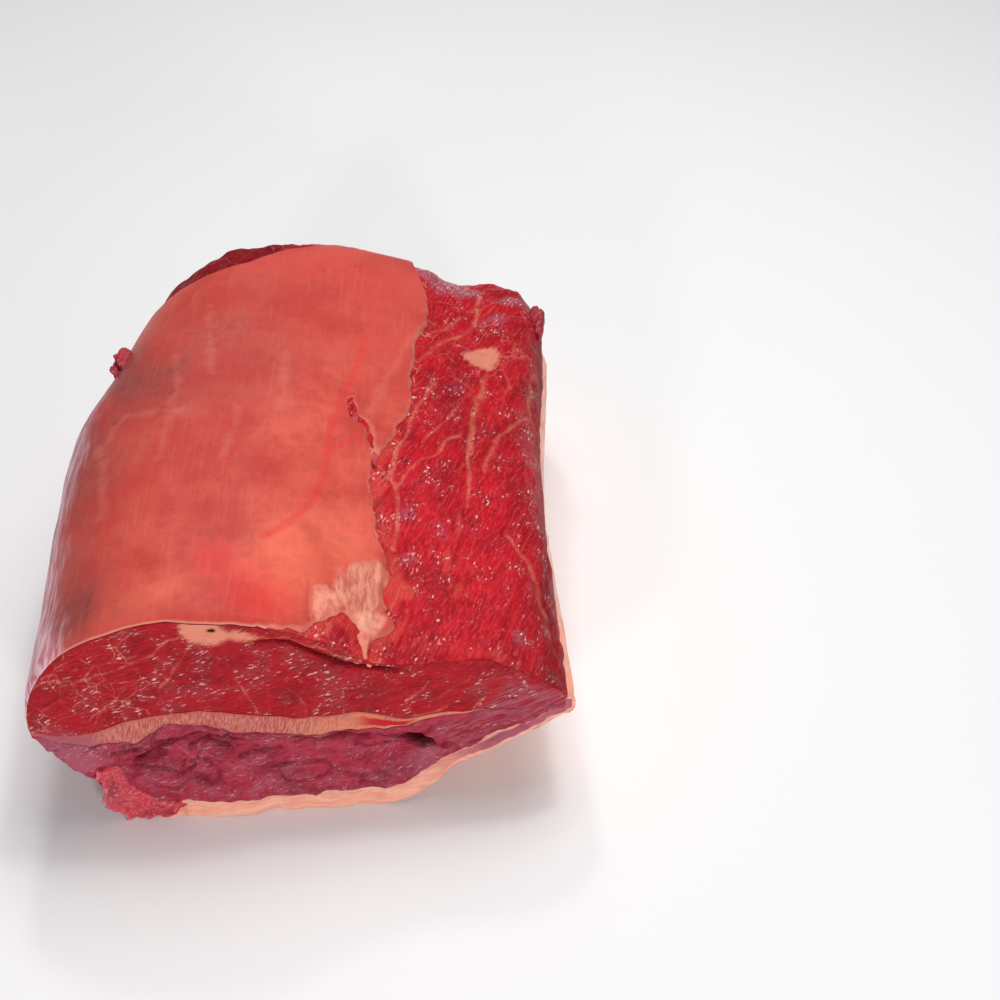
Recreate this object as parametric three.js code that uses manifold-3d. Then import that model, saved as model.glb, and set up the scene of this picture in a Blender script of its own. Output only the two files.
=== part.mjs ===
/**
 * Half of a boneless raw beef shoulder clod, lying on its fat side with the knife cut facing -Y.
 *
 * Millimetres, +Z up, origin at the bottom centre of the piece.
 *
 * A place in the meat is named by `across`, 0 at the left side and 1 at the right side, by
 * `depth`, the distance behind the cut face, and by a height above the floor. Five layers run
 * through the piece from the cut face to the back end: the fat under it, the lower muscle, the
 * gristle seam, the upper muscle and the fat cap that is left on top. Widths are measured from a
 * line beside the middle of the piece's box, and each finished layer is moved onto that middle.
 */
import * as THREE from "three";
import { mergeVertices } from "three/addons/utils/BufferGeometryUtils.js";
import Module from "manifold-3d";

const wasm = await Module();
wasm.setup();

// Driving dimensions of the muscle
const DEPTH = 246;
const CUT_FACE = -117;
const BOX_MIDDLE = 1.47;
const LEFT_SIDE = -98.5;
const LEFT_BELLY = 3;
const LEFT_BELLY_DEPTH = 110;
const RIGHT_SIDE = 94;
const RIGHT_TOE = 9;
const LEFT_EDGE_HEIGHT = 53.5;
const LEFT_EDGE_WALL = 5;
const RIGHT_EDGE_HEIGHT = 50;
const RIGHT_EDGE_WALL = 5;
const CROWN_AT_CUT = 107;
const CROWN_RISE = 4.5;
const STEP_DOWN_AT_CUT = 29;
const STEP_DOWN_BEHIND = 10;
const FALL_TO_RIGHT = 14;
const BACK_SADDLE = 7;
const SURFACE_SWELL = 1.1;
const UNDERSIDE_BLEND = 4;

// The rounded back end: its reach, how far the section shrinks there, and round which height
const BACK_ROUNDING = 34;
const BACK_SHRINK = 0.42;
const SECTION_MIDDLE_HEIGHT = 52;

// The cut: its slant in plan, and how far its relief stands or has drawn back
const CUT_OFFSET = -2;
const CUT_SLANT = 0.087;
const CUT_DRAWN_BACK = 4.5;
const CUT_DRAWN_BACK_HEIGHT = 35;
const CUT_WAVINESS = 1.3;
const CUT_FOOT = 3.5;

// Shares of the width: the left shoulder, the right shoulder, and where the underside turns
const LEFT_TURN = 0.34;
const RIGHT_TURN_AT_CUT = 0.17;
const RIGHT_TURN_BEHIND = 0.08;
const CHAMFER_WIDTH = 0.168;
const BED_START = 0.17;
const BED_EASE = 0.1;
const SLOPE_START_AT_CUT = 0.67;
const SLOPE_START_BEHIND = 0.79;

// Driving dimensions of the layers
const FAT_BED = 6.5;
const FAT_ON_SLOPE = 4;
const FAT_ON_SIDE = 3;
const FAT_TRIMMED_BY_FLOOR = 1;
const CAP_THICKNESS = 2.2;
const SEAM_AT_LEFT = 47;
const SEAM_ARCH = 6.5;
const SEAM_DIP = 2.4;
const SEAM_RISE_TO_RIGHT = 3.5;
const SEAM_WANDER = 3;
const SEAM_THICKNESS = 10;
const SEAM_THINNEST = 2;
const GAP = 0.35;

// Stations of the mesh: across, along the straight part, round the back end, and up the walls
const ACROSS_STATIONS = 24;
const STRAIGHT_ROWS = 14;
const BACK_ROWS = 5;
const ROWS = STRAIGHT_ROWS + BACK_ROWS;
const WALL_LEVELS = 4;

// Stations where the layers end, and the last step of the outline round the muscle
const SEAM_END_STATION = 17;
const FAT_LEFT_STATION = 7;
const FAT_TOP_STATION = 23;
const LAST_STEP = 2 * ACROSS_STATIONS + 1;

/** Eases from 0 to 1 as t goes from 0 to 1. */
function ease(t) {
  const u = THREE.MathUtils.clamp(t, 0, 1);
  return u * u * (3 - 2 * u);
}

/** Eases from one value to another as t goes from 0 to 1. */
function blend(from, to, t) {
  return from + (to - from) * ease(t);
}

/** A bump of height 1 at the centre that dies away over the given width. */
function bump(value, centre, width) {
  return Math.exp(-(((value - centre) / width) ** 2));
}

/** Rises from 0 to 1 like the quarter of a superellipse. */
function quarter(t, power) {
  const u = THREE.MathUtils.clamp(t, 0, 1);
  return (1 - (1 - u) ** power) ** (1 / power);
}

/** Stations across crowd towards both sides, where the section turns steeply. */
function acrossAt(station) {
  return (1 - Math.cos((Math.PI * station) / ACROSS_STATIONS)) / 2;
}

/** Rows are evenly spaced up to the rounded back end, and closer round it. */
function depthAt(row) {
  if (row <= STRAIGHT_ROWS) return ((DEPTH - BACK_ROUNDING) * row) / STRAIGHT_ROWS;
  const turn = (row - STRAIGHT_ROWS) / BACK_ROWS;
  return DEPTH - BACK_ROUNDING * (1 - Math.sin((Math.PI / 2) * turn));
}

/** The left side bows out behind the cut and comes in towards the back. */
function leftSide(depth) {
  const belly = ease(depth / 80) + LEFT_BELLY * bump(depth, LEFT_BELLY_DEPTH, 35);
  return LEFT_SIDE - belly + 18 * (depth / 215) ** 3.4;
}

/** The right side is drawn out into a toe at the cut. */
function rightSide(depth) {
  return RIGHT_SIDE + RIGHT_TOE * bump(depth, 0, 70) + 3 * ease((depth - 120) / 90);
}

/** Middle height of the blunt edge round the piece. */
function edgeHeight(across) {
  return LEFT_EDGE_HEIGHT + (RIGHT_EDGE_HEIGHT - LEFT_EDGE_HEIGHT) * across;
}

/** Half the height of that blunt edge. */
function edgeHalfWall(across) {
  return (LEFT_EDGE_WALL + (RIGHT_EDGE_WALL - LEFT_EDGE_WALL) * across) / 2;
}

/** Height of the top before it is rounded to the sides: high at the left, lower at the right. */
function plateau(across, depth) {
  const crown = CROWN_AT_CUT + CROWN_RISE * (1 - (1 - Math.min(depth / 200, 1)) ** 2);
  const stepDown = blend(STEP_DOWN_AT_CUT, STEP_DOWN_BEHIND, depth / 110) * ease((across - 0.38) / 0.32);
  const fallToRight = FALL_TO_RIGHT * ease(depth / 110) * ease((across - 0.6) / 0.4);
  const backSaddle = BACK_SADDLE * ease((depth - 150) / 60) * bump(across, 0.8, 0.09);
  const swell = Math.sin(across * 19 + depth / 31) * Math.cos(depth / 24 + 1) * ease(depth / 30);
  return crown - stepDown - fallToRight - backSaddle + SURFACE_SWELL * swell;
}

/** Height of the muscle's top. */
function topHeight(across, depth) {
  const edge = edgeHeight(across) + edgeHalfWall(across);
  const leftTurn = quarter(across / LEFT_TURN, blend(2.22, 2.85, depth / 120));
  const rightReach = blend(RIGHT_TURN_AT_CUT, RIGHT_TURN_BEHIND, depth / 80);
  const rightTurn = quarter((1 - across) / rightReach, blend(1.35, 2.75, depth / 80));
  return edge + (plateau(across, depth) - edge) * leftTurn * rightTurn;
}

/** Height of the muscle's underside: a chamfer at the left, a bed of fat, a slope at the right. */
function underHeight(across, depth) {
  const edge = edgeHeight(across) - edgeHalfWall(across);
  const bed = FAT_BED * ease((across - BED_START) / BED_EASE);
  const slopeStart = blend(SLOPE_START_AT_CUT, SLOPE_START_BEHIND, depth / 120);
  const chamfer = (edge * (1 - across / CHAMFER_WIDTH) - bed) / UNDERSIDE_BLEND;
  const slope = ((edge - bed) * (across - slopeStart)) / (1 - slopeStart) / UNDERSIDE_BLEND;
  return bed + UNDERSIDE_BLEND * Math.log(Math.exp(chamfer) + Math.exp(slope) + 1);
}

/** Middle height of the gristle seam: arched at the left, dipping, then rising to the right. */
function seamHeight(across, depth) {
  const x = LEFT_SIDE + across * (RIGHT_SIDE + RIGHT_TOE - LEFT_SIDE);
  const edge = edgeHeight(across);
  const arch = SEAM_AT_LEFT + SEAM_ARCH * bump(x, -42, 34) - SEAM_DIP * bump(x, 38, 10);
  const middle = arch + SEAM_RISE_TO_RIGHT * ease((x - 37) / 36);
  const towardsLeft = (edge - middle) * (1 - ease((x - LEFT_SIDE) / 16));
  const towardsRight = (edge - middle) * ease((across - 0.86) / 0.14);
  const wander = SEAM_WANDER * Math.sin(depth / 47) * Math.sin(Math.PI * across);
  return middle + towardsLeft + towardsRight + wander;
}

/** Half the thickness of the seam: thin at the left side, a thin cord and then gone at the right. */
function seamHalfThickness(across, depth) {
  const body = ease(across / 0.18) * (1 - ease((across - 0.6) / 0.13));
  const thinnerBehind = 1 - 0.3 * ease(depth / DEPTH);
  const edge = SEAM_THINNEST * (1 - ease((across - 0.76) / 0.1));
  return (edge + (SEAM_THICKNESS - SEAM_THINNEST) * body * thinnerBehind) / 2;
}

/** The cut isn't quite flat: the lower muscle has drawn back under the seam, above a foot of fat. */
function cutRelief(across, height) {
  const drawnBack = CUT_DRAWN_BACK * bump(height, CUT_DRAWN_BACK_HEIGHT, 8) * bump(across, 0.33, 0.2);
  const waviness = CUT_WAVINESS * Math.sin(across * 15 + 1) * Math.cos(height / 15);
  const foot = CUT_FOOT * bump(height, 0, 12) * bump(across, 0.42, 0.22);
  return drawnBack + waviness - foot;
}

/** Puts a place of the piece into space, rounding the back end and slanting the cut. */
function place(across, depth, height) {
  const left = leftSide(depth);
  const right = rightSide(depth);
  const turn = THREE.MathUtils.clamp((depth - DEPTH + BACK_ROUNDING) / BACK_ROUNDING, 0, 1);
  const shrink = 1 - BACK_SHRINK * (1 - (1 - turn ** 2.3) ** (1 / 2.3));
  const middle = (left + right) / 2;
  const x = middle + (left + across * (right - left) - middle) * shrink;
  const z = SECTION_MIDDLE_HEIGHT + (height - SECTION_MIDDLE_HEIGHT) * shrink;
  const slant = (CUT_OFFSET + CUT_SLANT * x) * (1 - depth / DEPTH) ** 3;
  const relief = cutRelief(across, height) * (1 - depth / DEPTH) ** 8;
  return new THREE.Vector3(x, CUT_FACE + depth + slant + relief, z);
}

/** Makes a mesh geometry from a list of points and a list of corner numbers. */
function geometryFrom(points, corners) {
  const geometry = new THREE.BufferGeometry();
  const numbers = points.flatMap((p) => [p.x, p.y, p.z]);
  geometry.setAttribute("position", new THREE.Float32BufferAttribute(numbers, 3));
  geometry.setIndex(corners);
  return geometry;
}

/**
 * A closed block whose skin follows pointAt(i, j, k), for i from 0 to columns, j from 0 to rows
 * and k from 0 to levels. Points are shared, so the skin has no seams. Each face's quads are
 * split from their first corner to their third, or the other way where leansBack(i) says so, so
 * that two layers that face each other can have the same creases.
 */
function block(columns, rows, levels, pointAt, leansBack = () => false) {
  const points = [];
  const corners = [];
  const numbers = new Map();
  const number = (i, j, k) => {
    const key = (i * (rows + 1) + j) * (levels + 1) + k;
    if (!numbers.has(key)) {
      numbers.set(key, points.length);
      points.push(pointAt(i, j, k));
    }
    return numbers.get(key);
  };
  const triangle = (a, b, c, flip) => {
    if (flip) corners.push(a, c, b);
    else corners.push(a, b, c);
  };
  const side = (countA, countB, cornerAt, flip, leans = () => false) => {
    for (let a = 0; a < countA; a += 1) {
      for (let b = 0; b < countB; b += 1) {
        const near = cornerAt(a, b);
        const right = cornerAt(a + 1, b);
        const far = cornerAt(a + 1, b + 1);
        const left = cornerAt(a, b + 1);
        if (leans(a)) {
          triangle(near, right, left, flip);
          triangle(right, far, left, flip);
        } else {
          triangle(near, right, far, flip);
          triangle(near, far, left, flip);
        }
      }
    }
  };
  side(columns, rows, (i, j) => number(i, j, 0), true, leansBack);
  side(columns, rows, (i, j) => number(i, j, levels), false, leansBack);
  side(columns, levels, (i, k) => number(i, 0, k), false);
  side(columns, levels, (i, k) => number(i, rows, k), true);
  side(rows, levels, (j, k) => number(0, j, k), true);
  side(rows, levels, (j, k) => number(columns, j, k), false);
  return geometryFrom(points, corners);
}

/** A layer between two heights, lowerAt and upperAt, over the stations from 0 to lastStation. */
function layer(lowerAt, upperAt, lastStation, levels) {
  return block(lastStation, ROWS, levels, (i, j, k) => {
    const across = acrossAt(i);
    const depth = depthAt(j);
    const low = lowerAt(across, depth);
    const high = upperAt(across, depth);
    return place(across, depth, low + ((high - low) * k) / levels);
  });
}

/** A point of the muscle's outline: over the top from left to right, then back underneath. */
function outlinePoint(step, depth) {
  if (step <= ACROSS_STATIONS) {
    const across = acrossAt(step);
    return place(across, depth, topHeight(across, depth));
  }
  const across = acrossAt(LAST_STEP - step);
  return place(across, depth, underHeight(across, depth));
}

/** The direction out of the muscle at a point of its outline, square to the length. */
function outlineNormal(step, depth) {
  const before = outlinePoint(Math.max(step - 1, 0), depth);
  const after = outlinePoint(Math.min(step + 1, LAST_STEP), depth);
  return new THREE.Vector3(before.z - after.z, 0, after.x - before.x).normalize();
}

/** A sheet lying on the muscle, clear of it by the gap, over the outline steps from first to last. */
function sheet(first, last, thicknessAt) {
  const pointAt = (i, j, k) => {
    const depth = depthAt(j);
    const step = first + i;
    const offset = GAP + k * thicknessAt(step);
    return outlinePoint(step, depth).addScaledVector(outlineNormal(step, depth), offset);
  };
  return block(last - first, ROWS, 1, pointAt, (i) => first + i > ACROSS_STATIONS);
}

/** Turns a closed geometry into a solid that can be joined and cut. */
function solidFrom(geometry) {
  const bare = geometry.clone();
  bare.deleteAttribute("normal");
  bare.deleteAttribute("uv");
  const merged = mergeVertices(bare, 1e-4);
  return new wasm.Manifold(
    new wasm.Mesh({
      numProp: 3,
      vertProperties: new Float32Array(merged.attributes.position.array),
      triVerts: new Uint32Array(merged.index.array),
    }),
  );
}

/** Turns a solid back into a geometry, keeping only its largest piece. */
function geometryOf(solid) {
  const pieces = solid.decompose();
  const largest = pieces.reduce((a, b) => (a.volume() > b.volume() ? a : b));
  const mesh = largest.getMesh();
  const geometry = new THREE.BufferGeometry();
  geometry.setAttribute("position", new THREE.BufferAttribute(new Float32Array(mesh.vertProperties), 3));
  geometry.setIndex(new THREE.BufferAttribute(new Uint32Array(mesh.triVerts), 1));
  return geometry;
}

/** A lumpy scrap of meat round a centre: a ball stretched to size with waves in its skin. */
function scrap({ centre, size, turn, lumps }) {
  const ball = new THREE.IcosahedronGeometry(1, 2);
  const position = ball.attributes.position;
  const point = new THREE.Vector3();
  for (let n = 0; n < position.count; n += 1) {
    point.fromBufferAttribute(position, n);
    const wave = Math.sin(3 * point.x + lumps) * Math.sin(4 * point.y - lumps) * Math.cos(3 * point.z);
    point.multiplyScalar(1 + 0.28 * wave).multiply(size);
    position.setXYZ(n, point.x, point.y, point.z);
  }
  ball.rotateY(turn);
  ball.translate(centre.x, centre.y, centre.z);
  return solidFrom(ball);
}

// Loose ends of the meat: centre, half sizes, turn about the length and start of the lumps
const RAGGED_CORNER = [
  { centre: inPiece(-74, -6, 17), size: new THREE.Vector3(4.5, 5, 11.5), turn: 0.1, lumps: 1 },
  { centre: inPiece(-71, -8, 6), size: new THREE.Vector3(7, 5, 5), turn: 0.2, lumps: 2 },
  { centre: inPiece(-67, -6, 2), size: new THREE.Vector3(6, 6, 3.5), turn: -0.2, lumps: 3 },
];
const POCKET = { centre: inPiece(45, 2, 33), size: new THREE.Vector3(10, 16, 4), turn: 0.2, lumps: 4 };
const SIDE_TAG = { centre: inPiece(-87, 165, 95), size: new THREE.Vector3(5, 6.5, 5), turn: 0.6, lumps: 5 };

/** A place in space, from the middle of the piece, the distance behind the cut and the height. */
function inPiece(x, depth, height) {
  return new THREE.Vector3(x, CUT_FACE + depth, height);
}

/** An upright prism over an outline in plan, tall enough to pass right through the piece. */
function planPrism(shape) {
  const height = 400;
  const prism = new THREE.ExtrudeGeometry(shape, { depth: height, bevelEnabled: false, curveSegments: 14 });
  prism.translate(0, 0, -height / 2);
  return solidFrom(prism);
}

/** A place in plan, from the middle of the piece and the distance behind the cut face. */
function plan(x, depth) {
  return new THREE.Vector2(x, CUT_FACE + depth);
}

/** The half-space below the floor. */
function belowFloor() {
  const slab = new THREE.BoxGeometry(400, 500, 100);
  slab.translate(0, 0, -50);
  return solidFrom(slab);
}

// Plan of the fat cap: past the left side, a torn right edge, a trimmed corner at the back left
const CAP_TORN_NOTCH = [plan(7, 0), plan(7.5, 9), plan(15.5, 11), plan(19, 15), plan(22, 12), plan(28, 0)];
const CAP_RIGHT_EDGE = [
  plan(32, 10),
  plan(34, 36),
  plan(29, 58),
  plan(25.5, 80),
  plan(28.5, 83),
  plan(30.5, 95),
  plan(37, 115),
  plan(39, 150),
  plan(44, 180),
  plan(44.5, 204),
  plan(41, 232),
];
const CAP_BACK_EDGE = [plan(1, 236), plan(-36, 227), plan(-51, 214), plan(-75, 206)];
const CAP_TEAR = [plan(15, 124), plan(18, 116), plan(23, 111), plan(25.5, 99), plan(27.5, 94), plan(27, 84)];
const CAP_TEAR_WIDTH = 2;
const CAP_OVERHANG = 40;

/** Plan outline of the fat cap. */
function capOutline() {
  const shape = new THREE.Shape();
  const front = CUT_FACE - CAP_OVERHANG;
  const farLeft = LEFT_SIDE - CAP_OVERHANG;
  const notchStart = CAP_TORN_NOTCH[0];
  const notchEnd = CAP_TORN_NOTCH[CAP_TORN_NOTCH.length - 1];
  shape.moveTo(farLeft, front);
  shape.lineTo(notchStart.x, front);
  shape.lineTo(notchStart.x, notchStart.y);
  shape.splineThru(CAP_TORN_NOTCH.slice(1));
  shape.lineTo(notchEnd.x, front);
  shape.lineTo(CAP_RIGHT_EDGE[0].x, front);
  shape.lineTo(CAP_RIGHT_EDGE[0].x, CAP_RIGHT_EDGE[0].y);
  shape.splineThru(CAP_RIGHT_EDGE.slice(1));
  shape.splineThru(CAP_BACK_EDGE);
  shape.lineTo(farLeft, CAP_BACK_EDGE[CAP_BACK_EDGE.length - 1].y);
  shape.closePath();
  return shape;
}

/** Plan outline of the tear in the cap: a narrow strip along the tear, open at the right edge. */
function tearOutline() {
  const half = CAP_TEAR_WIDTH / 2;
  const leftBank = CAP_TEAR.map((p) => new THREE.Vector2(p.x - half, p.y));
  const rightBank = CAP_TEAR.slice(1).map((p) => new THREE.Vector2(p.x + half, p.y));
  const mouth = new THREE.Vector2(CAP_TEAR[CAP_TEAR.length - 1].x + 4, CUT_FACE + 79);
  return new THREE.Shape([...leftBank, mouth, ...rightBank.reverse()]);
}

/** A named mesh with a wet, non-metallic finish, moved onto the middle of the piece's box. */
function meshOf(name, geometry, color, roughness) {
  const material = new THREE.MeshStandardMaterial({ color, roughness, metalness: 0 });
  geometry.translate(-BOX_MIDDLE, 0, 0);
  geometry.computeVertexNormals();
  const mesh = new THREE.Mesh(geometry, material);
  mesh.name = name;
  return mesh;
}

/** The muscle above the gristle seam. */
function upperMuscle() {
  const lower = (a, d) => seamHeight(a, d) + seamHalfThickness(a, d) + GAP / 2;
  const geometry = layer(lower, topHeight, ACROSS_STATIONS, WALL_LEVELS);
  return meshOf("upper_muscle", geometry, 0x9c1f27, 0.35);
}

/** The muscle below the seam, with a pocket in the cut and ragged trimmings at its corner. */
function lowerMuscle() {
  const upper = (a, d) => seamHeight(a, d) - seamHalfThickness(a, d) - GAP / 2;
  const main = solidFrom(layer(underHeight, upper, ACROSS_STATIONS, WALL_LEVELS));
  const joined = RAGGED_CORNER.reduce((sum, piece) => sum.add(scrap(piece)), main);
  const trimmed = joined.subtract(scrap(POCKET)).subtract(belowFloor());
  return meshOf("lower_muscle", geometryOf(trimmed), 0x7d1f33, 0.4);
}

/** The band of gristle between the two muscles. */
function gristleSeam() {
  const inset = GAP / 2;
  const lower = (a, d) => seamHeight(a, d) - seamHalfThickness(a, d) + inset;
  const upper = (a, d) => seamHeight(a, d) + seamHalfThickness(a, d) - inset;
  return meshOf("gristle_seam", layer(lower, upper, SEAM_END_STATION, 1), 0xc98f76, 0.5);
}

/** The whole muscle, both halves and seam in one, grown by the gap that its coverings keep. */
function muscleWithClearance() {
  const geometry = block(ACROSS_STATIONS, ROWS, 1, (i, j, k) => {
    const step = k === 1 ? i : LAST_STEP - i;
    const depth = depthAt(j);
    return outlinePoint(step, depth).addScaledVector(outlineNormal(step, depth), GAP);
  });
  return solidFrom(geometry);
}

/** The smooth sheet of fat and membrane on top, with its torn edge, its tear and a loose tag. */
function fatCap() {
  const blank = solidFrom(sheet(0, ACROSS_STATIONS, () => CAP_THICKNESS));
  const shaped = blank.intersect(planPrism(capOutline())).subtract(planPrism(tearOutline()));
  const outerTag = scrap(SIDE_TAG).subtract(muscleWithClearance());
  return meshOf("fat_cap", geometryOf(shaped.add(outerTag)), 0xd9604c, 0.45);
}

/** The fat under the piece, which also covers its right slope and side. */
function bottomFat() {
  const thicknessAt = (step) => {
    const stepsUnderneath = step - ACROSS_STATIONS - 1;
    const onSide = blend(FAT_ON_SIDE, FAT_ON_SLOPE, stepsUnderneath / 3);
    return blend(onSide, FAT_BED + FAT_TRIMMED_BY_FLOOR, (stepsUnderneath - 5) / 5);
  };
  const blank = solidFrom(sheet(FAT_TOP_STATION, LAST_STEP - FAT_LEFT_STATION, thicknessAt));
  return meshOf("bottom_fat", geometryOf(blank.subtract(belowFloor())), 0xe0936f, 0.45);
}

const shoulderClod = new THREE.Group();
shoulderClod.name = "shoulder_clod_half";
shoulderClod.add(upperMuscle(), gristleSeam(), lowerMuscle(), fatCap(), bottomFat());

export default shoulderClod;
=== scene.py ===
"""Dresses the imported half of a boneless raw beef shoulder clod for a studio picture.

Lengths are worked out in millimetres in the frame's own axes and put into the meshes in metres.
A place in the meat is named by `across`, 0 at the left side and 1 at the right side, by `depth`,
the distance behind the cut face, and by its height above the floor. Widths are measured from a
line beside the middle of the frame, and the finished skins are moved onto that middle.
"""

import functools
import math

import bpy
import numpy as np
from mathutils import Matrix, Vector


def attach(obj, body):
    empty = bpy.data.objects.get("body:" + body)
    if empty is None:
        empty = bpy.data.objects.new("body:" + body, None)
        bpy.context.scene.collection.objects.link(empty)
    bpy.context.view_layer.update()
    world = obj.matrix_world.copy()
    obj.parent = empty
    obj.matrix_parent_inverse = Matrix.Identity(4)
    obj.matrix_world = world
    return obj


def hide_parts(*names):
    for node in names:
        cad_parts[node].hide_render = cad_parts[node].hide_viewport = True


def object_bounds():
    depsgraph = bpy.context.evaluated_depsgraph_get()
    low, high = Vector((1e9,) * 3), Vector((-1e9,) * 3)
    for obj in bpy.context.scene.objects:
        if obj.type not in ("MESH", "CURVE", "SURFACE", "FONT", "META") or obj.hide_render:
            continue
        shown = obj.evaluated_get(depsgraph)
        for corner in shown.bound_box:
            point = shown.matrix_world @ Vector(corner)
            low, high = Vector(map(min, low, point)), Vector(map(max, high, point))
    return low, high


bl_info = {
    "name": "Raw Beef Shoulder Clod",
    "version": (1, 0, 0),
    "blender": (4, 5, 0),
    "location": "View3D > Sidebar > Clod",
    "description": "Builds the cut half of a raw beef shoulder clod round its packed frame",
    "category": "Add Mesh",
}

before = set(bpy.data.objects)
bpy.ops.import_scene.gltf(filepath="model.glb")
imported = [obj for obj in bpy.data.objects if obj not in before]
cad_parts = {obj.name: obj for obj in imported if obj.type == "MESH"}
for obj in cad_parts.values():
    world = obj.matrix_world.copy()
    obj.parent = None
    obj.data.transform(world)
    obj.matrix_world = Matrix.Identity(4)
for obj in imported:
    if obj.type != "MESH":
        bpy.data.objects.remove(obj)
FRAME_LOW, FRAME_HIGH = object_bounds()

MM = 0.001

# Driving dimensions of the muscle, in millimetres
DEPTH = 246
CUT_FACE = -117
BOX_MIDDLE = 1.47
LEFT_SIDE = -98.5
LEFT_BELLY = 3
LEFT_BELLY_DEPTH = 110
LEFT_BELLY_LENGTH = 35
LEFT_DRAWN_IN = 18
LEFT_DRAWN_IN_DEPTH = 215
RIGHT_SIDE = 94
RIGHT_TOE = 9
RIGHT_TOE_LENGTH = 70
RIGHT_SWELL = 3
LEFT_EDGE_HEIGHT = 53.5
LEFT_EDGE_WALL = 5
RIGHT_EDGE_HEIGHT = 50
RIGHT_EDGE_WALL = 5
CROWN_AT_CUT = 107
CROWN_RISE = 4.5
CROWN_DEPTH = 200
STEP_DOWN_AT_CUT = 29
STEP_DOWN_BEHIND = 10
STEP_DOWN_DEPTH = 110
FALL_TO_RIGHT = 14
BACK_SADDLE = 7
BACK_SADDLE_ACROSS = 0.8
BACK_SADDLE_WIDTH = 0.09
SURFACE_SWELL = 1.1
UNDERSIDE_BLEND = 4
BACK_ROUNDING = 34
BACK_SHRINK = 0.42
BACK_SQUARENESS = 2.3
BACK_BULGE = 1.5
SECTION_MIDDLE_HEIGHT = 52

# The cut: its slant in plan, and how far its relief stands out or has drawn back
CUT_OFFSET = -2
CUT_SLANT = 0.087
CUT_DRAWN_BACK = 4.5
CUT_DRAWN_BACK_HEIGHT = 35
CUT_WAVINESS = 1.3
CUT_FOOT = 3.5
CUT_DETAIL_FADE = 9
LIP_GROOVE_DEPTH = 2.2
SLOPE_ABOVE_LIP = 0.15
FOLD_DEPTH = 1.2
TONGUE_STEP_LEFT = 4.6
TONGUE_STEP_RIGHT = 1.2
# How far the rim at the top of the cut is lifted and leans back, by the place across
RIM_ACROSS = (0, 0.14, 0.265, 0.32, 0.39, 0.47, 0.515, 0.58)
RIM_LIFT = (0, 0.8, 1.7, 0.2, -2.0, -2.0, -1.0, 0)
RIM_LEAN = (0, 0.9, 2.0, 0.2, -2.4, -2.4, -1.0, 0)
RIM_LIFT_FADE = 20

# The cut face's own relief, across and above the floor: the lip along its top, the edge of the
# tongue, the pocket below it, the cracks after how deep and how wide they are, and the grey wedge
LIP_X = (-30, -24, -13, -5, 2.4, 10, 18, 26, 32, 38, 52)
LIP_HEIGHT = (104, 98, 95.6, 94.9, 91.2, 86.9, 82.6, 80, 78.3, 75.8, 82)
TONGUE_EDGE = (
    (20, 40), (30, 38), (40, 37.3), (47, 36), (50, 35), (52, 32), (54, 29.4), (58, 29), (63, 32),
    (73, 37), (85, 43), (98, 47), (108, 47),
)
POCKET_OUTLINE = (
    (29, 36.4), (36, 37.6), (43, 37.4), (49, 35.8), (52.8, 31), (53.4, 27), (47, 26), (40, 28),
    (33, 31.6),
)
POCKET_DEPTH = 10
CRACKS = (
    (3.6, 1.3, (-62, 33), (-55, 36), (-48, 36.5), (-44, 39), (-36, 41.3), (-28, 40.5), (-22, 41)),
    (1.6, 0.9, (-70, 40), (-62, 38), (-56, 39.5), (-50, 38)),
    (2.4, 1.1, (-43, 33), (-37, 35), (-29, 34.5)),
    (2.6, 1.3, (-2, 39), (3, 38), (16, 39), (25, 36)),
    (1.8, 1.0, (-24, 31), (-16, 33), (-8, 33)),
    (2.0, 1.0, (-63, 29.4), (-50, 22), (-46, 20)),
    (1.4, 0.8, (-34, 38), (-40, 28), (-45, 21)),
    (1.4, 0.9, (-58, 17), (-48, 14), (-41, 18)),
    (1.2, 0.8, (-14, 24), (-4, 27), (8, 24)),
    (1.2, 0.8, (0, 14), (12, 17), (24, 14)),
)
WEDGE_OUTLINE = (
    (50, 40), (58, 47), (66, 49), (74, 57), (78, 66), (86, 66), (96, 60), (110, 52), (110, 44),
    (92, 38), (75, 30), (62, 24), (54, 21), (56, 28), (58, 34),
)

# Shares of the width where the top and the underside turn
LEFT_TURN = 0.34
RIGHT_TURN_AT_CUT = 0.17
RIGHT_TURN_BEHIND = 0.08
CHAMFER_WIDTH = 0.168
BED_START = 0.17
BED_EASE = 0.1
SLOPE_START_AT_CUT = 0.67
SLOPE_START_BEHIND = 0.79

# The layers
FAT_BED = 6.5
FAT_ON_SLOPE = 4
FAT_ON_SIDE = 3
SEAM_AT_LEFT = 47
SEAM_ARCH = 6.5
SEAM_DIP = 2.4
SEAM_RISE_TO_RIGHT = 3.5
SEAM_WANDER = 3
SEAM_THINNEST = 2
SEAM_END = 0.86

# The meshes: rows round the back end, how many cells a hidden block joins, rough lengths across
# the muscles, the seam and the bottom fat, blocks of the cap, rows of the cut faces and of the
# end face, levels through the seam, the bottom fat and a thin edge, and the share of the blunt
# edges
BACK_ROWS = 40
HIDDEN_BLOCK = 8
MUSCLE_LENGTH = 235
SEAM_LENGTH = 180
FAT_LENGTH = 162.5
CAP_BLOCKS = (21, 34)
UPPER_FACE_ROWS = 80
LOWER_FACE_ROWS = 64
END_FACE_ROWS = 16
SEAM_LEVELS = 16
FAT_LEVELS = 10
EDGE_LEVELS = 4
EDGE_SHARE = 0.03
# Columns are spaced along the outline at this depth, and this many steps lead over the top
SPACING_DEPTH = 4.0
TOP_STEPS = 24

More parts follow.
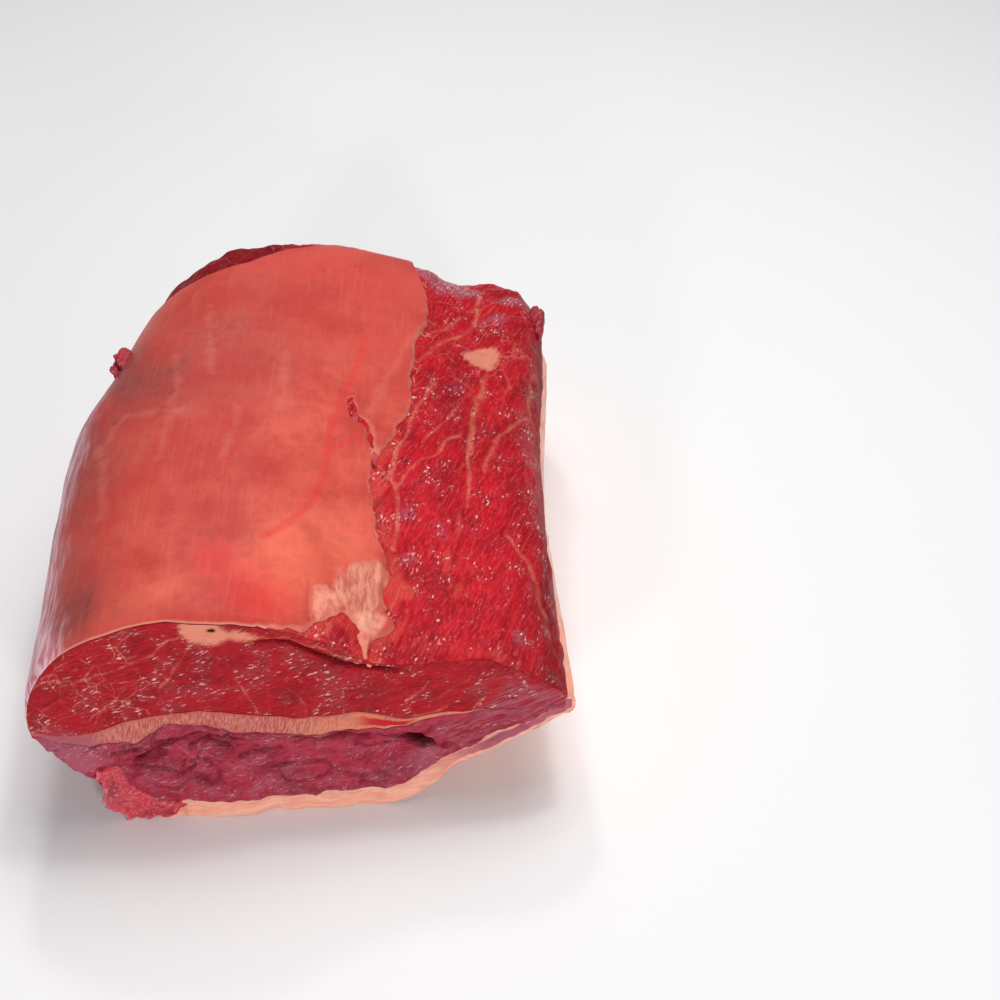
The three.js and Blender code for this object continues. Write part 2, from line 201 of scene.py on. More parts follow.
# Marbling on the top of the right muscle: half width, then places across and behind the cut
TOP_VEINS = (
    (0.3, (49, 147), (45, 137), (41, 129), (40, 121), (39, 114), (35, 102), (34, 93), (32, 85)),
    (0.2, (58, 132), (52, 120), (45, 108)),
    (0.35, (60, 115), (55, 112), (52, 103), (45, 98), (40, 90), (37, 84), (35, 82)),
    (0.45, (35, 82), (36, 75), (37, 70), (37, 62), (36, 53)),
    (0.4, (35, 82), (33, 86), (35, 98), (36, 106)),
    (0.6, (41, 159), (47, 170), (53, 183), (61, 192), (65, 200), (67, 207), (66, 217), (68, 224)),
    (0.25, (67, 206), (71, 209), (74, 213)),
    (0.25, (48, 186), (53, 194), (59, 206)),
    (0.9, (71, 160), (69, 146), (66, 130), (65, 117), (65, 106)),
    (0.3, (65, 114), (64, 95), (64, 84), (64, 75)),
    (0.35, (70, 98), (73, 107), (77, 121), (81, 127), (85, 132), (91, 143)),
    (0.3, (76, 176), (80, 174), (83, 176), (86, 174), (89, 180), (92, 180)),
    (0.25, (84, 186), (83, 180), (83, 176)),
    (0.25, (93, 174), (91, 164), (90, 146), (90, 140)),
    (0.2, (79, 164), (81, 156), (80, 149)),
    (0.5, (80, 64), (87, 53), (90, 44), (93, 38), (95, 31), (97, 23)),
)
# The pale patch of fat on that muscle
TOP_FAT_PATCH = (
    (60, 173), (62, 177), (67, 181), (74, 183), (77, 177), (76, 170), (73, 162), (69, 164),
    (65, 166), (62, 169),
)
# Membrane with a painted lavender sheen, and warm orange flushes: strength, place in plan and
# half sizes
TOP_SHEENS = (
    (0.6, 41, 69, 5, 7), (0.6, 55, 59, 5, 7), (0.7, 41, 49, 6, 4), (0.4, 89, 67, 4, 6),
    (0.4, 67, 38, 5, 5), (0.6, 85, 13, 8, 7), (0.5, 98, 50, 3, 10), (1.5, 46, 233, 9, 10),
    (1.5, 58, 228, 9, 8), (1.1, 84, 219, 9, 6), (0.8, 74, 203, 12, 5), (0.4, 60, 150, 9, 14),
)
TOP_FLUSHES = (
    (0.8, 61, 64, 2, 8), (0.8, 57, 47, 2.5, 7), (0.6, 61, 35, 4, 4), (1.0, 37, 36, 5, 3),
    (0.7, 43, 33, 4, 3), (0.6, 74, 3, 9, 3), (0.5, 49, 8, 9, 5), (0.5, 34, 14, 4, 6),
)

# Marbling on the cut face: half width, then places across and above the floor
FACE_VEINS = (
    (0.35, (-91, 81), (-85, 84), (-84, 77), (-70, 82), (-62, 86), (-51, 89), (-46, 95), (-38, 100)),
    (0.3, (-34, 96), (-41, 84), (-49, 74)),
    (0.3, (-74, 57), (-67, 67), (-60, 78)),
    (0.25, (-67, 67), (-63, 58)),
    (0.3, (-21, 77), (-17, 70), (-14, 56)),
    (0.6, (-18.5, 72.5), (-17.5, 69)),
    (0.25, (-3, 70), (3, 65), (4, 54)),
    (0.2, (-88, 59), (-84, 63), (-78, 63)),
    (0.2, (-84, 77), (-86, 70), (-80, 64)),
    (0.2, (-70, 82), (-66, 74), (-60, 78)),
    (0.5, (-21, 98.5), (-13, 97.6), (-5, 96.6), (2, 93), (10, 88.8), (18, 84.4), (26, 81.6)),
    (0.4, (41, 55), (46, 61), (50, 67)),
    (0.6, (44, 48), (50, 50), (57, 53.5)),
    (0.5, (62, 47.5), (66, 51), (72, 59)),
    (0.3, (50, 56), (58, 61), (66, 70)),
    (0.2, (-53, 29), (-47, 19), (-44, 29), (-29, 29)),
    (0.2, (-35, 22), (-29, 29), (-18, 27), (-9, 33)),
    (0.2, (-50, 36), (-44, 29)),
    (0.2, (12, 30), (20, 32), (29, 27)),
    (0.2, (-40, 14), (-26, 10), (-12, 16)),
)
# Grey membrane on the cut, partly a painted sheen: strength, place across and above the floor,
# and half sizes
FACE_SHEENS = (
    (1.3, -92, 47, 9, 8), (1.1, -80, 37, 9, 8), (0.5, -60, 40, 9, 3), (0.5, -70, 18, 5, 12),
    (0.9, 47, 22, 8, 7), (0.5, 30, 12, 16, 5), (0.5, -15, 14, 30, 6), (0.4, 26, 27, 12, 5),
)
# Outline of the nodule of fat at the top of the cut, and its hole, painted as a spot of shade,
# across and above the floor
NODULE = (
    (-36.5, 108), (-23, 108), (-22, 103.9), (-20, 101.3), (-17, 102.6), (-14.5, 101), (-11, 97.4),
    (-13, 95.8), (-18, 97), (-20.4, 98.2), (-22, 97), (-25, 95.8), (-31, 96), (-34.5, 96.3),
    (-35, 99), (-36.5, 101),
)
NODULE_HOLE = (-26.3, 102.8)
NODULE_HOLE_RADIUS = 1.3

# Plan of the fat cap, across and behind the cut: torn right edge, trimmed back edge, notch and
# tear. Then the tear's half width, how far the grid goes on beyond the edges and dives in there,
# and the depth and half width of the slits
CAP_RIGHT_EDGE = (
    (-10, 27), (4, 28), (11, 30), (13, 33), (17, 37), (19, 37), (24, 33), (31, 32), (39, 34),
    (47, 33), (58, 29.5), (70, 27), (82, 25), (93, 25.5), (96, 27.5), (106, 33), (125, 38),
    (133, 40), (147, 39), (169, 40), (180, 41), (192, 44), (200, 45), (214, 43), (223, 40),
    (235, 36), (250, 34),
)
CAP_BACK_EDGE = ((-130, 196), (-75, 200), (-51, 209), (-36, 223), (1, 235), (41, 236), (60, 236))
CAP_NOTCH = (
    (-16, -20), (-14, -0.5), (-5, 0.4), (1, 1.2), (6, 2.4), (7, 6), (10, 10), (13, 13), (16, 16),
    (19, 18.5), (21, 17), (24, 13), (25, 8), (27, 3.5), (28, -20),
)
CAP_TEAR = ((15, 125), (16, 116), (19, 113), (23, 111), (24, 105), (26, 98), (27, 94), (31, 92))
CAP_TEAR_HALF_WIDTH = 0.9
CAP_MARGIN = 2.6
CAP_DIVE = 3
SLIT_DEPTH = 0.8
SLIT_HALF_WIDTH = 0.45

# Marks on the cap: red veins, pale lines with their half width, slits, the fibrous patch and the
# peach flaps beside it
CAP_RED_VEIN = ((18, 167), (18, 156), (13, 128), (7, 96), (8, 85), (5, 66), (-3, 50), (-12, 40))
CAP_BRANCH = ((7, 89), (13, 96), (20, 103))
CAP_PALE_LINES = (
    (0.9, (-82, 98), (-80, 87), (-77, 76), (-76, 67), (-74, 57)),
    (0.5, (-59, 146), (-55, 128), (-56, 114), (-56, 83)),
    (0.4, (-49, 180), (-46, 158), (-43, 134)),
    (0.6, (-81, 96), (-77, 113), (-67, 111), (-52, 110)),
    (0.4, (-14, 147), (-12, 128), (-12, 112)),
    (0.4, (-29, 113), (-29, 102), (-31, 82)),
    (0.4, (39, 177), (31, 149), (22, 117)),
)
CAP_SLITS = (
    ((-72, 21), (-72.6, 14), (-72, 8), (-72, 2)),
    ((5.6, 25), (5.2, 15), (6.6, 7)),
)
GREY_PATCH = (
    (13, 27), (16, 35), (21, 42), (27, 45), (33, 45), (33, 37), (31, 31), (32, 24), (28, 15),
    (25, 11), (21, 18), (16, 20),
)
PEACH_FLAPS = (
    ((6, 24), (14, 27), (16, 18), (14, 12), (8, 7), (6, 15)),
    ((22, 18), (28, 22), (34, 20), (33, 15), (29, 11), (27, 2), (25, 8)),
)
# Where the cap is redder, and where browner, with painted shade down its left side: strength,
# place in plan and half sizes
CAP_BLUSHES = (
    (1.0, -12, 12, 16, 12), (0.7, -28, 28, 12, 12), (0.5, 0, 30, 10, 14), (0.35, 18, 195, 22, 32),
    (0.3, -12, 207, 25, 15),
)
CAP_BROWNS_AND_SHADE = (
    (0.9, -84, 152, 12, 18), (0.6, -70, 130, 18, 20), (0.6, -94, 67, 13, 45), (0.5, -76, 12, 8, 14),
    (0.7, -94, 110, 13, 30), (0.7, -82, 20, 16, 20), (0.4, -50, 120, 24, 24), (0.12, -46, 14, 24, 14),
    (0.35, -20, 140, 30, 24), (0.3, -5, 195, 50, 24), (0.4, -48, 168, 30, 26), (0.45, -74, 76, 15, 28),
)
# Where the cap is a lighter, warmer peach: painted light, most at its front
CAP_PAINTED_LIGHTS = (
    (1.0, -2, 32, 18, 26), (0.6, -44, 16, 16, 12), (0.5, 20, 52, 12, 24), (0.4, -16, 92, 18, 14),
    (0.35, 8, 120, 26, 40),
)

# The bottom fat runs along the muscle's outline from this step to that one
FAT_TOP_STEP = 23.45
FAT_LEFT_STEP = 42

# Rows and columns of a scrap
SCRAP_GRID = (30, 40)
# Loose scraps: centre across, behind the cut and above the floor, half sizes, turn in radians
RAGGED_CORNER = (
    ((-76.5, -4.5, 24.5), (1.6, 2.0, 3.0), 0.2),
    ((-77, -6, 9), (2.2, 2.2, 2.0), 0.3),
    ((-71, -6, 2.4), (2.8, 2.6, 1.8), 0.2),
    ((-62, -5.5, 1.6), (3.4, 2.6, 1.4), 0.0),
)
# The torn flap there: its root in the muscle and its ragged outer edge, across and above the
# floor, then how far it curls forwards, its grid, its length and its half thickness
FLAP_ROOT = ((-70, 33), (-68, 24), (-65, 17), (-61, 11), (-55, 8), (-46, 6))
FLAP_EDGE = ((-76, 32), (-78.5, 24), (-76.5, 17), (-79, 10), (-76.5, 3), (-70, 0.4), (-62, 0.2), (-52, 1.5))
FLAP_CURL = 2.6
FLAP_GRID = (26, 120)
FLAP_LENGTH = 70
FLAP_HALF_THICKNESS = 2.4
SIDE_TAG = (((-84.2, 162.5, 95), (5.8, 6.5, 3.2), 0.6), ((-88, 158.5, 92.6), (4.4, 5, 2.4), 0.9))
TEAR_CURLS = (
    ((27, 92, 100), (1.2, 3.2, 1.1), 0.4),
    ((24, 97, 101), (1.0, 2.2, 0.9), 0.1),
    ((18, 113, 104), (1.3, 2.0, 0.9), 0.2),
)
BACK_CURLS = (((93.6, 212, 79), (4, 9, 6.5), 0.3),)

# A muscle's attributes where nothing is marked
MUSCLE_MARKS = {
    "vein": 6, "fat": -6, "cut": 0, "wedge": 0, "web": 0.2, "sheen": 0, "flush": 0, "hollow": 0,
}
# The cap's attributes where nothing is marked
CAP_MARKS = {
    "cover": -3, "pale": 0, "peach": 0, "fan": 0, "silver": 0, "front": 0, "red": 20, "lines": 6,
    "blush": 0, "brown": 0, "glow": 0,
}

# The finishes' sRGB colours
COLOURS = {
    "bright_muscle": ("Bright muscle", "#C41324"),
    "bright_deep": ("Bright muscle, deep", "#7C0612"),
    "bright_lit": ("Bright muscle, lit fibres", "#D83E42"),
    "dark_muscle": ("Lower muscle", "#CC3C54"),
    "dark_deep": ("Lower muscle, deep", "#6E0C22"),
    "dark_lit": ("Lower muscle, lit fibres", "#DE6A80"),
    # painted glints
    "fleck": ("Painted glints", "#FFD2C8"),
    "marbling": ("Marbling", "#E07C66"),
    "wedge_red": ("Wedge", "#9C1A30"),
    "wedge_grey": ("Wedge, grey side", "#AE5868"),
    # grey-violet membrane, partly a painted sheen
    "veil": ("Veil", "#B26074"),
    "gristle": ("Gristle", "#D68676"),
    "gristle_pink": ("Gristle, pink", "#B84C48"),
    "cap_fat": ("Cap", "#D85A4D"),
    "cap_red": ("Cap, red", "#C4453D"),
    "cap_blush": ("Cap, blush", "#E03A3A"),
    # also the colour of painted shade down the cap's left side and in its slits
    "cap_brown": ("Cap, brown", "#80403F"),
    # painted light on the cap
    "cap_glow": ("Cap, painted light", "#FF8468"),
    "fibrous": ("Fibrous patch", "#E89C84"),
    "patch_grey": ("Fibrous patch, grey", "#C86858"),
    "nodule": ("Nodule of fat", "#EA8E74"),
    "cord": ("Cords of fat", "#E48A68"),
    # membrane at the left with a painted sheen
    "silver": ("Silver membrane, painted sheen", "#ECBCC8"),
    # also painted light on the strip above the lip of the cut
    "flush": ("Salmon flush", "#DC5A4C"),
    # painted shade
    "hollow": ("Painted shade", "#38040A"),
    "torn": ("Torn scraps", "#D83E4E"),
    "torn_deep": ("Torn scraps, deep", "#921626"),
    "torn_lit": ("Torn scraps, lit fibres", "#F28C92"),
    "soft_fat": ("Soft fat", "#FFBEA4"),
    "fat_pink": ("Soft fat, pink", "#FAA48E"),
}

# The studio in metres: half the table's width, the place that the lamps are turned to, the white
# from all round, each lamp's place, width and power in watts, and the width from which a lamp
# isn't seen in the wet film
TABLE_HALF_WIDTH = 4.0
LIT_PLACE = (0, 0, 0.05)
SKY_WHITE = (0.95, 0.97, 1.0, 1)
LAMPS = (
    ("softbox_above", (0.20, 0.20, 1.15), 0.70, 7.4),
    ("lamp_behind", (-0.10, 0.60, 1.00), 0.12, 1.8),
    ("lamp_above", (0.25, 0.15, 1.20), 0.12, 1.8),
    ("lamp_front_right", (0.45, -1.15, 0.45), 0.14, 4.4),
    ("lamp_front_left", (-0.35, -1.20, 0.50), 0.14, 3.4),
)
WIDEST_SEEN_LAMP = 0.5

# Settings of nodes: a range that eases between its ends, a mix of colours, a stretched grain, a
# product, and a product with a sum
EASED = {"interpolation_type": "SMOOTHSTEP"}
OF_COLOURS = {"data_type": "RGBA"}
STRETCHED = {"vector_type": "TEXTURE"}
TIMES = {"operation": "MULTIPLY"}
TIMES_PLUS = {"operation": "MULTIPLY_ADD"}


def ease(t):
    """Eases from 0 to 1 as t goes from 0 to 1."""
    u = np.clip(t, 0, 1)
    return u * u * (3 - 2 * u)


def blend(start, end, t):
    """Eases from one value to another as t goes from 0 to 1."""
    return start + (end - start) * ease(t)


def bump(value, centre, width):
    """A bump of height 1 at the centre that dies away over the given width."""
    return np.exp(-(((value - centre) / width) ** 2))


def quarter(t, power):
    """Rises from 0 to 1 like the quarter of a superellipse."""
    u = np.clip(t, 0, 1)
    return (1 - (1 - u) ** power) ** (1 / power)


def in_plane(u, v):
    """Places in one plane as points, for the noise."""
    return np.stack((u, v, np.zeros(np.shape(u))), -1)


def hashed(corner, seed):
    """A fixed random number from -1 to 1 for each whole-number corner of a cubic grid."""
    mixed = corner[..., 0] * 73856093 ^ corner[..., 1] * 19349663 ^ corner[..., 2] * 83492791
    mixed = (mixed ^ seed * 2654435761) & 0xFFFFFFFF
    mixed = ((mixed ^ mixed >> 15) * 2246822519) & 0xFFFFFFFF
    mixed = ((mixed ^ mixed >> 13) * 3266489917) & 0xFFFFFFFF
    return (mixed ^ mixed >> 16) / 2**31 - 1


def noise(points, size, seed, octaves=1):
    """Smooth random relief from about -1 to 1: random numbers on a cubic grid of the given size,
    eased between the corners, with finer and weaker layers added for each further octave."""
    total = 0
    for octave in range(octaves):
        scaled = points * (2**octave / size) + 7.3 * octave
        corner = np.floor(scaled).astype(np.int64)
        part = ease(scaled - corner)
        value = 0
        for dx, dy, dz in np.ndindex(2, 2, 2):
            weight = np.abs(np.array((1 - dx, 1 - dy, 1 - dz)) - part).prod(-1)
            value = value + weight * hashed(corner + np.array((dx, dy, dz)), seed + octave)
        total = total + value * 0.5**octave
    return total


def soft_interp(value, places, heights):
    """Reads a height between places, averaged over nearby values so that it has no corners."""
    shifts = (-0.036, -0.024, -0.012, 0, 0.012, 0.024, 0.036)
    return sum(np.interp(value + shift, places, heights) for shift in shifts) / len(shifts)


def rounded(line):
    """The line with its corners cut twice, so that it bends softly."""
    points = np.array(line, float)
    for _ in range(2):
        near = points[:-1] * 0.75 + points[1:] * 0.25
        far = points[:-1] * 0.25 + points[1:] * 0.75
        middle = np.stack((near, far), 1).reshape(-1, 2)
        points = np.concatenate((points[:1], middle, points[-1:]))
    return points


def distance_to(line, u, v):
    """Distance of the places (u, v) to a line of straight pieces."""
    nearest = np.full(np.shape(u), 1e6)
    for (u0, v0), (u1, v1) in zip(line[:-1], line[1:]):
        du = u1 - u0
        dv = v1 - v0
        share = np.clip(((u - u0) * du + (v - v0) * dv) / (du * du + dv * dv), 0, 1)
        nearest = np.minimum(nearest, np.hypot(u - u0 - share * du, v - v0 - share * dv))
    return nearest


def inside_by(outline, u, v):
    """How far the places (u, v) lie inside a closed outline; below 0 outside it."""
    closed = np.concatenate((outline, outline[:1]))
    crossings = np.zeros(np.shape(u), int)
    for (u0, v0), (u1, v1) in zip(closed[:-1], closed[1:]):
        if v0 != v1:
            spans = (v0 > v) != (v1 > v)
            crossings += spans & (u < u0 + (v - v0) * (u1 - u0) / (v1 - v0))
    return distance_to(closed, u, v) * np.where(crossings % 2 == 1, 1, -1)


def nearest_vein(veins, u, v):
    """Distance to the edge of the nearest line of marbling, below 0 in it. The places are first
    moved a little at random, so that the lines wander."""
    flat = in_plane(u, v)
    u = u + 0.9 * noise(flat, 6, 31, 3)
    v = v + 0.9 * noise(flat, 6, 47, 3)
    nearest = np.full(np.shape(u), 6.0)
    for half_width, *line in veins:
        nearest = np.minimum(nearest, distance_to(rounded(line), u, v) - half_width)
    return nearest


def across_at(station):
    """Steps over the top crowd towards both sides, where the section turns steeply."""
    return (1 - np.cos(np.pi * station / TOP_STEPS)) / 2


def left_side(depth):
    """The left side bows out behind the cut and comes in towards the back."""
    belly = ease(depth / 80) + LEFT_BELLY * bump(depth, LEFT_BELLY_DEPTH, LEFT_BELLY_LENGTH)
    return LEFT_SIDE - belly + LEFT_DRAWN_IN * (depth / LEFT_DRAWN_IN_DEPTH) ** 3.4


def right_side(depth):
    """The right side is drawn out into a toe at the cut."""
    toe = RIGHT_TOE * bump(depth, 0, RIGHT_TOE_LENGTH)
    return RIGHT_SIDE + toe + RIGHT_SWELL * ease((depth - 120) / 90)


def edge_height(across):
    """Middle height of the blunt edge round the piece."""
    return LEFT_EDGE_HEIGHT + (RIGHT_EDGE_HEIGHT - LEFT_EDGE_HEIGHT) * across


def edge_half_wall(across):
    """Half the height of that blunt edge."""
    return (LEFT_EDGE_WALL + (RIGHT_EDGE_WALL - LEFT_EDGE_WALL) * across) / 2


def plateau(across, depth):
    """Height of the top before it is rounded to the sides: high at the left, lower at the right."""
    crown = CROWN_AT_CUT + CROWN_RISE * (1 - (1 - np.minimum(depth / CROWN_DEPTH, 1)) ** 2)
    step_down = blend(STEP_DOWN_AT_CUT, STEP_DOWN_BEHIND, depth / STEP_DOWN_DEPTH)
    step_down = step_down * ease((across - 0.38) / 0.32)
    fall = FALL_TO_RIGHT * ease(depth / STEP_DOWN_DEPTH) * ease((across - 0.6) / 0.4)
    saddle = BACK_SADDLE * ease((depth - 150) / 60)
    saddle = saddle * bump(across, BACK_SADDLE_ACROSS, BACK_SADDLE_WIDTH)
    swell = np.sin(across * 19 + depth / 31) * np.cos(depth / 24 + 1) * ease(depth / 30)
    return crown - step_down - fall - saddle + SURFACE_SWELL * swell


def top_height(across, depth):
    """Height of the muscle's top: the plateau, eased down to the blunt edges at both sides."""
    edge = edge_height(across) + edge_half_wall(across)
    left_turn = quarter(across / LEFT_TURN, blend(2.22, 2.85, depth / 120))
    right_reach = blend(RIGHT_TURN_AT_CUT, RIGHT_TURN_BEHIND, depth / 80)
    right_turn = quarter((1 - across) / right_reach, blend(1.35, 2.75, depth / 80))
    lift = soft_interp(across, RIM_ACROSS, RIM_LIFT) * np.exp(-depth / RIM_LIFT_FADE)
    return edge + (plateau(across, depth) - edge) * left_turn * right_turn + lift


def under_height(across, depth):
    """Height of the muscle's underside: a chamfer at the left, a bed of fat, a slope at the right,
    joined by a soft maximum."""
    edge = edge_height(across) - edge_half_wall(across)
    bed = FAT_BED * ease((across - BED_START) / BED_EASE)
    slope_start = blend(SLOPE_START_AT_CUT, SLOPE_START_BEHIND, depth / 120)
    chamfer = (edge * (1 - across / CHAMFER_WIDTH) - bed) / UNDERSIDE_BLEND
    slope = (edge - bed) * (across - slope_start) / (1 - slope_start) / UNDERSIDE_BLEND
    return bed + UNDERSIDE_BLEND * np.log(np.exp(chamfer) + np.exp(slope) + 1)


def seam_height(across, depth):
    """Middle height of the gristle seam: arched at the left, dipping, then rising to the right."""
    x = LEFT_SIDE + across * (RIGHT_SIDE + RIGHT_TOE - LEFT_SIDE)
    edge = edge_height(across)
    arch = SEAM_AT_LEFT + SEAM_ARCH * bump(x, -42, 34) - SEAM_DIP * bump(x, 38, 10)
    middle = arch + SEAM_RISE_TO_RIGHT * ease((x - 37) / 36)
    towards_left = (edge - middle) * (1 - ease((x - LEFT_SIDE) / 16))
    towards_right = (edge - middle) * ease((across - SEAM_END) / (1 - SEAM_END))
    wander = SEAM_WANDER * np.sin(depth / 47) * np.sin(np.pi * across)
    return middle + towards_left + towards_right + wander


def seam_half_thickness(across, depth, thickest):
    """Half the thickness of the seam: thin at the left side, a thin cord and then gone at the
    right."""
    body = ease(across / 0.18) * (1 - ease((across - 0.6) / 0.13))
    thinner_behind = 1 - 0.3 * ease(depth / DEPTH)
    edge = SEAM_THINNEST * (1 - ease((across - 0.76) / 0.1))
    return (edge + (thickest - SEAM_THINNEST) * body * thinner_behind) / 2


def across_of(x):
    """The share of the width at the cut face for a place x."""
    left = left_side(0)
    return (x - left) / (right_side(0) - left)


def cut_relief(across, height):
    """The cut isn't quite flat: the lower muscle has drawn back under the seam, above a foot of
    fat."""
    drawn_back = CUT_DRAWN_BACK * bump(height, CUT_DRAWN_BACK_HEIGHT, 8) * bump(across, 0.33, 0.2)
    waviness = CUT_WAVINESS * np.sin(across * 15 + 1) * np.cos(height / 15)
    foot = CUT_FOOT * bump(height, 0, 12) * bump(across, 0.42, 0.22)
    return drawn_back + waviness - foot


def cut_wander(x, z):
    """The places of the cut moved a little at random, so that what is drawn on it wanders."""
    flat = in_plane(x, z)
    return x + 1.2 * noise(flat, 9, 5, 2), z + 1.2 * noise(flat, 9, 6, 2)


def lip_groove(x, z):
    """Strength of the groove under the lip, from 0 to 1."""
    below = np.interp(x, LIP_X, LIP_HEIGHT) - z
    return bump(below, 0.9, 1.0) * ease((x + 16) / 10) * (1 - ease((x - 35) / 8))


def folds(x, z):
    """Strength of the folds in the lower muscle, from 0 to 1: thin lines where slow noise is 0."""
    flat = in_plane(0.55 * x, z)
    below_seam = ease((seam_height(across_of(x), 0) - z - 4) / 4)
    return below_seam * bump(noise(flat, 11, 17, 2), 0, 0.09)


def cut_shadow(x, z):
    """How deep in shadow a place of the cut lies, from 0 to 1: pocket, cracks, lip and folds."""
    u, v = cut_wander(x, z)
    dark = ease((inside_by(rounded(POCKET_OUTLINE), u, v) + 0.5) / 1.2)
    for deep, wide, *line in CRACKS:
        dark = np.maximum(dark, 0.2 * deep * bump(distance_to(rounded(line), u, v), 0, wide))
    return np.maximum(dark, np.maximum(0.75 * lip_groove(x, z), 0.35 * folds(x, z)))


def cut_detail(x, z):
    """How far the cut face lies behind its smooth form: grooves along the cracks, the pocket sunk
    in, a step below the tongue, a slope above the lip, lumps, folds and random grain."""
    flat = in_plane(x, z)
    u, v = cut_wander(x, z)
    above_lip = np.maximum(z - np.interp(x, LIP_X, LIP_HEIGHT), 0)
    behind = SLOPE_ABOVE_LIP * above_lip * ease((x + 28) / 12)
    behind = behind + soft_interp(across_of(x), RIM_ACROSS, RIM_LEAN) * ease((z - 84) / 18)
    behind = behind + LIP_GROOVE_DEPTH * lip_groove(x, z) + FOLD_DEPTH * folds(x, z)
    for deep, wide, *line in CRACKS:
        behind = behind + deep * bump(distance_to(rounded(line), u, v), 0, wide)
    in_pocket = inside_by(rounded(POCKET_OUTLINE), u, v)
    behind = behind + POCKET_DEPTH * ease((in_pocket + 0.4) / 2.2)
    tongue = np.interp(u, *np.transpose(TONGUE_EDGE))
    step = blend(TONGUE_STEP_LEFT, TONGUE_STEP_RIGHT, (x - 50) / 45) * ease((x - 22) / 14)
    behind = behind + step * ease((tongue - v) / 1.8) * ease((z - 8) / 12)
    lumps = 1.1 * noise(flat, 23, 11, 1) + 0.5 * noise(flat, 7, 12, 2)
    below_seam = ease((seam_height(across_of(x), 0) - z) / 6)
    lumps = lumps + below_seam * (1.9 * noise(flat, 12, 13, 2) + 0.55 * noise(flat, 3.6, 14, 2))
    grain = (0.14 + 0.12 * below_seam) * noise(flat * (0.5, 1, 1), 1.9, 15, 2)
    return behind + lumps * ease((z + 2) / 6) + grain


def place(across, depth, height):
    """Puts a place of the piece into space, rounding the back end and slanting the cut. The relief
    of the cut dies away behind it."""
    left = left_side(depth)
    right = right_side(depth)
    turn = np.clip((depth - DEPTH + BACK_ROUNDING) / BACK_ROUNDING, 0, 1)
    shrink = 1 - BACK_SHRINK * (1 - (1 - turn**BACK_SQUARENESS) ** (1 / BACK_SQUARENESS))
    middle = (left + right) / 2
    x = middle + (left + across * (right - left) - middle) * shrink
    z = SECTION_MIDDLE_HEIGHT + (height - SECTION_MIDDLE_HEIGHT) * shrink
    slant = (CUT_OFFSET + CUT_SLANT * x) * (1 - depth / DEPTH) ** 3
    relief = cut_relief(across, height) * (1 - depth / DEPTH) ** 8
    return np.stack(np.broadcast_arrays(x, CUT_FACE + depth + slant + relief, z), -1)


def on_cut(x, z):
    """A place on the cut face, with all its relief."""
    smooth_form = CUT_FACE + CUT_OFFSET + CUT_SLANT * x + cut_relief(across_of(x), z)
    return np.stack((x, smooth_form + cut_detail(x, z), z), -1)


def with_cut_detail(points, depth):
    """Carries the cut's own relief on behind its rim, where it dies away."""
    moved = points.copy()
    fade = np.exp(-depth / CUT_DETAIL_FADE)
    moved[..., 1] += cut_detail(points[..., 0], points[..., 2]) * fade
    return moved


def depths(step):
    """Depths of the rows: close at the cut, wider behind, and close again round the back end."""
    straight = DEPTH - BACK_ROUNDING
    count = int(straight / (1.25 * step))
    run = np.linspace(0, 1, count + 1)
    front = straight * (0.8 * run + 0.2 * run**2)
    turn = np.arange(1, BACK_ROWS + 1) / BACK_ROWS
    back = DEPTH - BACK_ROUNDING * (1 - np.sin(np.pi / 2 * turn))
    return np.concatenate((front, back))


def running_total(parts):
    """Sums of the parts so far, from 0 on."""
    return np.concatenate(((0,), np.cumsum(parts)))


def length_so_far(points):
    """Length of a line of points up to each of them."""
    return running_total(np.linalg.norm(np.diff(points, axis=0), axis=1))


def even_shares(points, count):
    """Shares along a line of points, from 0 to 1, that part it into equal lengths."""
    run = length_so_far(points)
    return np.interp(np.linspace(0, run[-1], count + 1), run, np.linspace(0, 1, len(points)))


def grid_normals(points):
    """Directions square to a grid of points: its first direction crossed with its second."""
    normals = np.cross(np.gradient(points, axis=0), np.gradient(points, axis=1))
    return normals / np.maximum(np.linalg.norm(normals, axis=-1, keepdims=True), 1e-9)


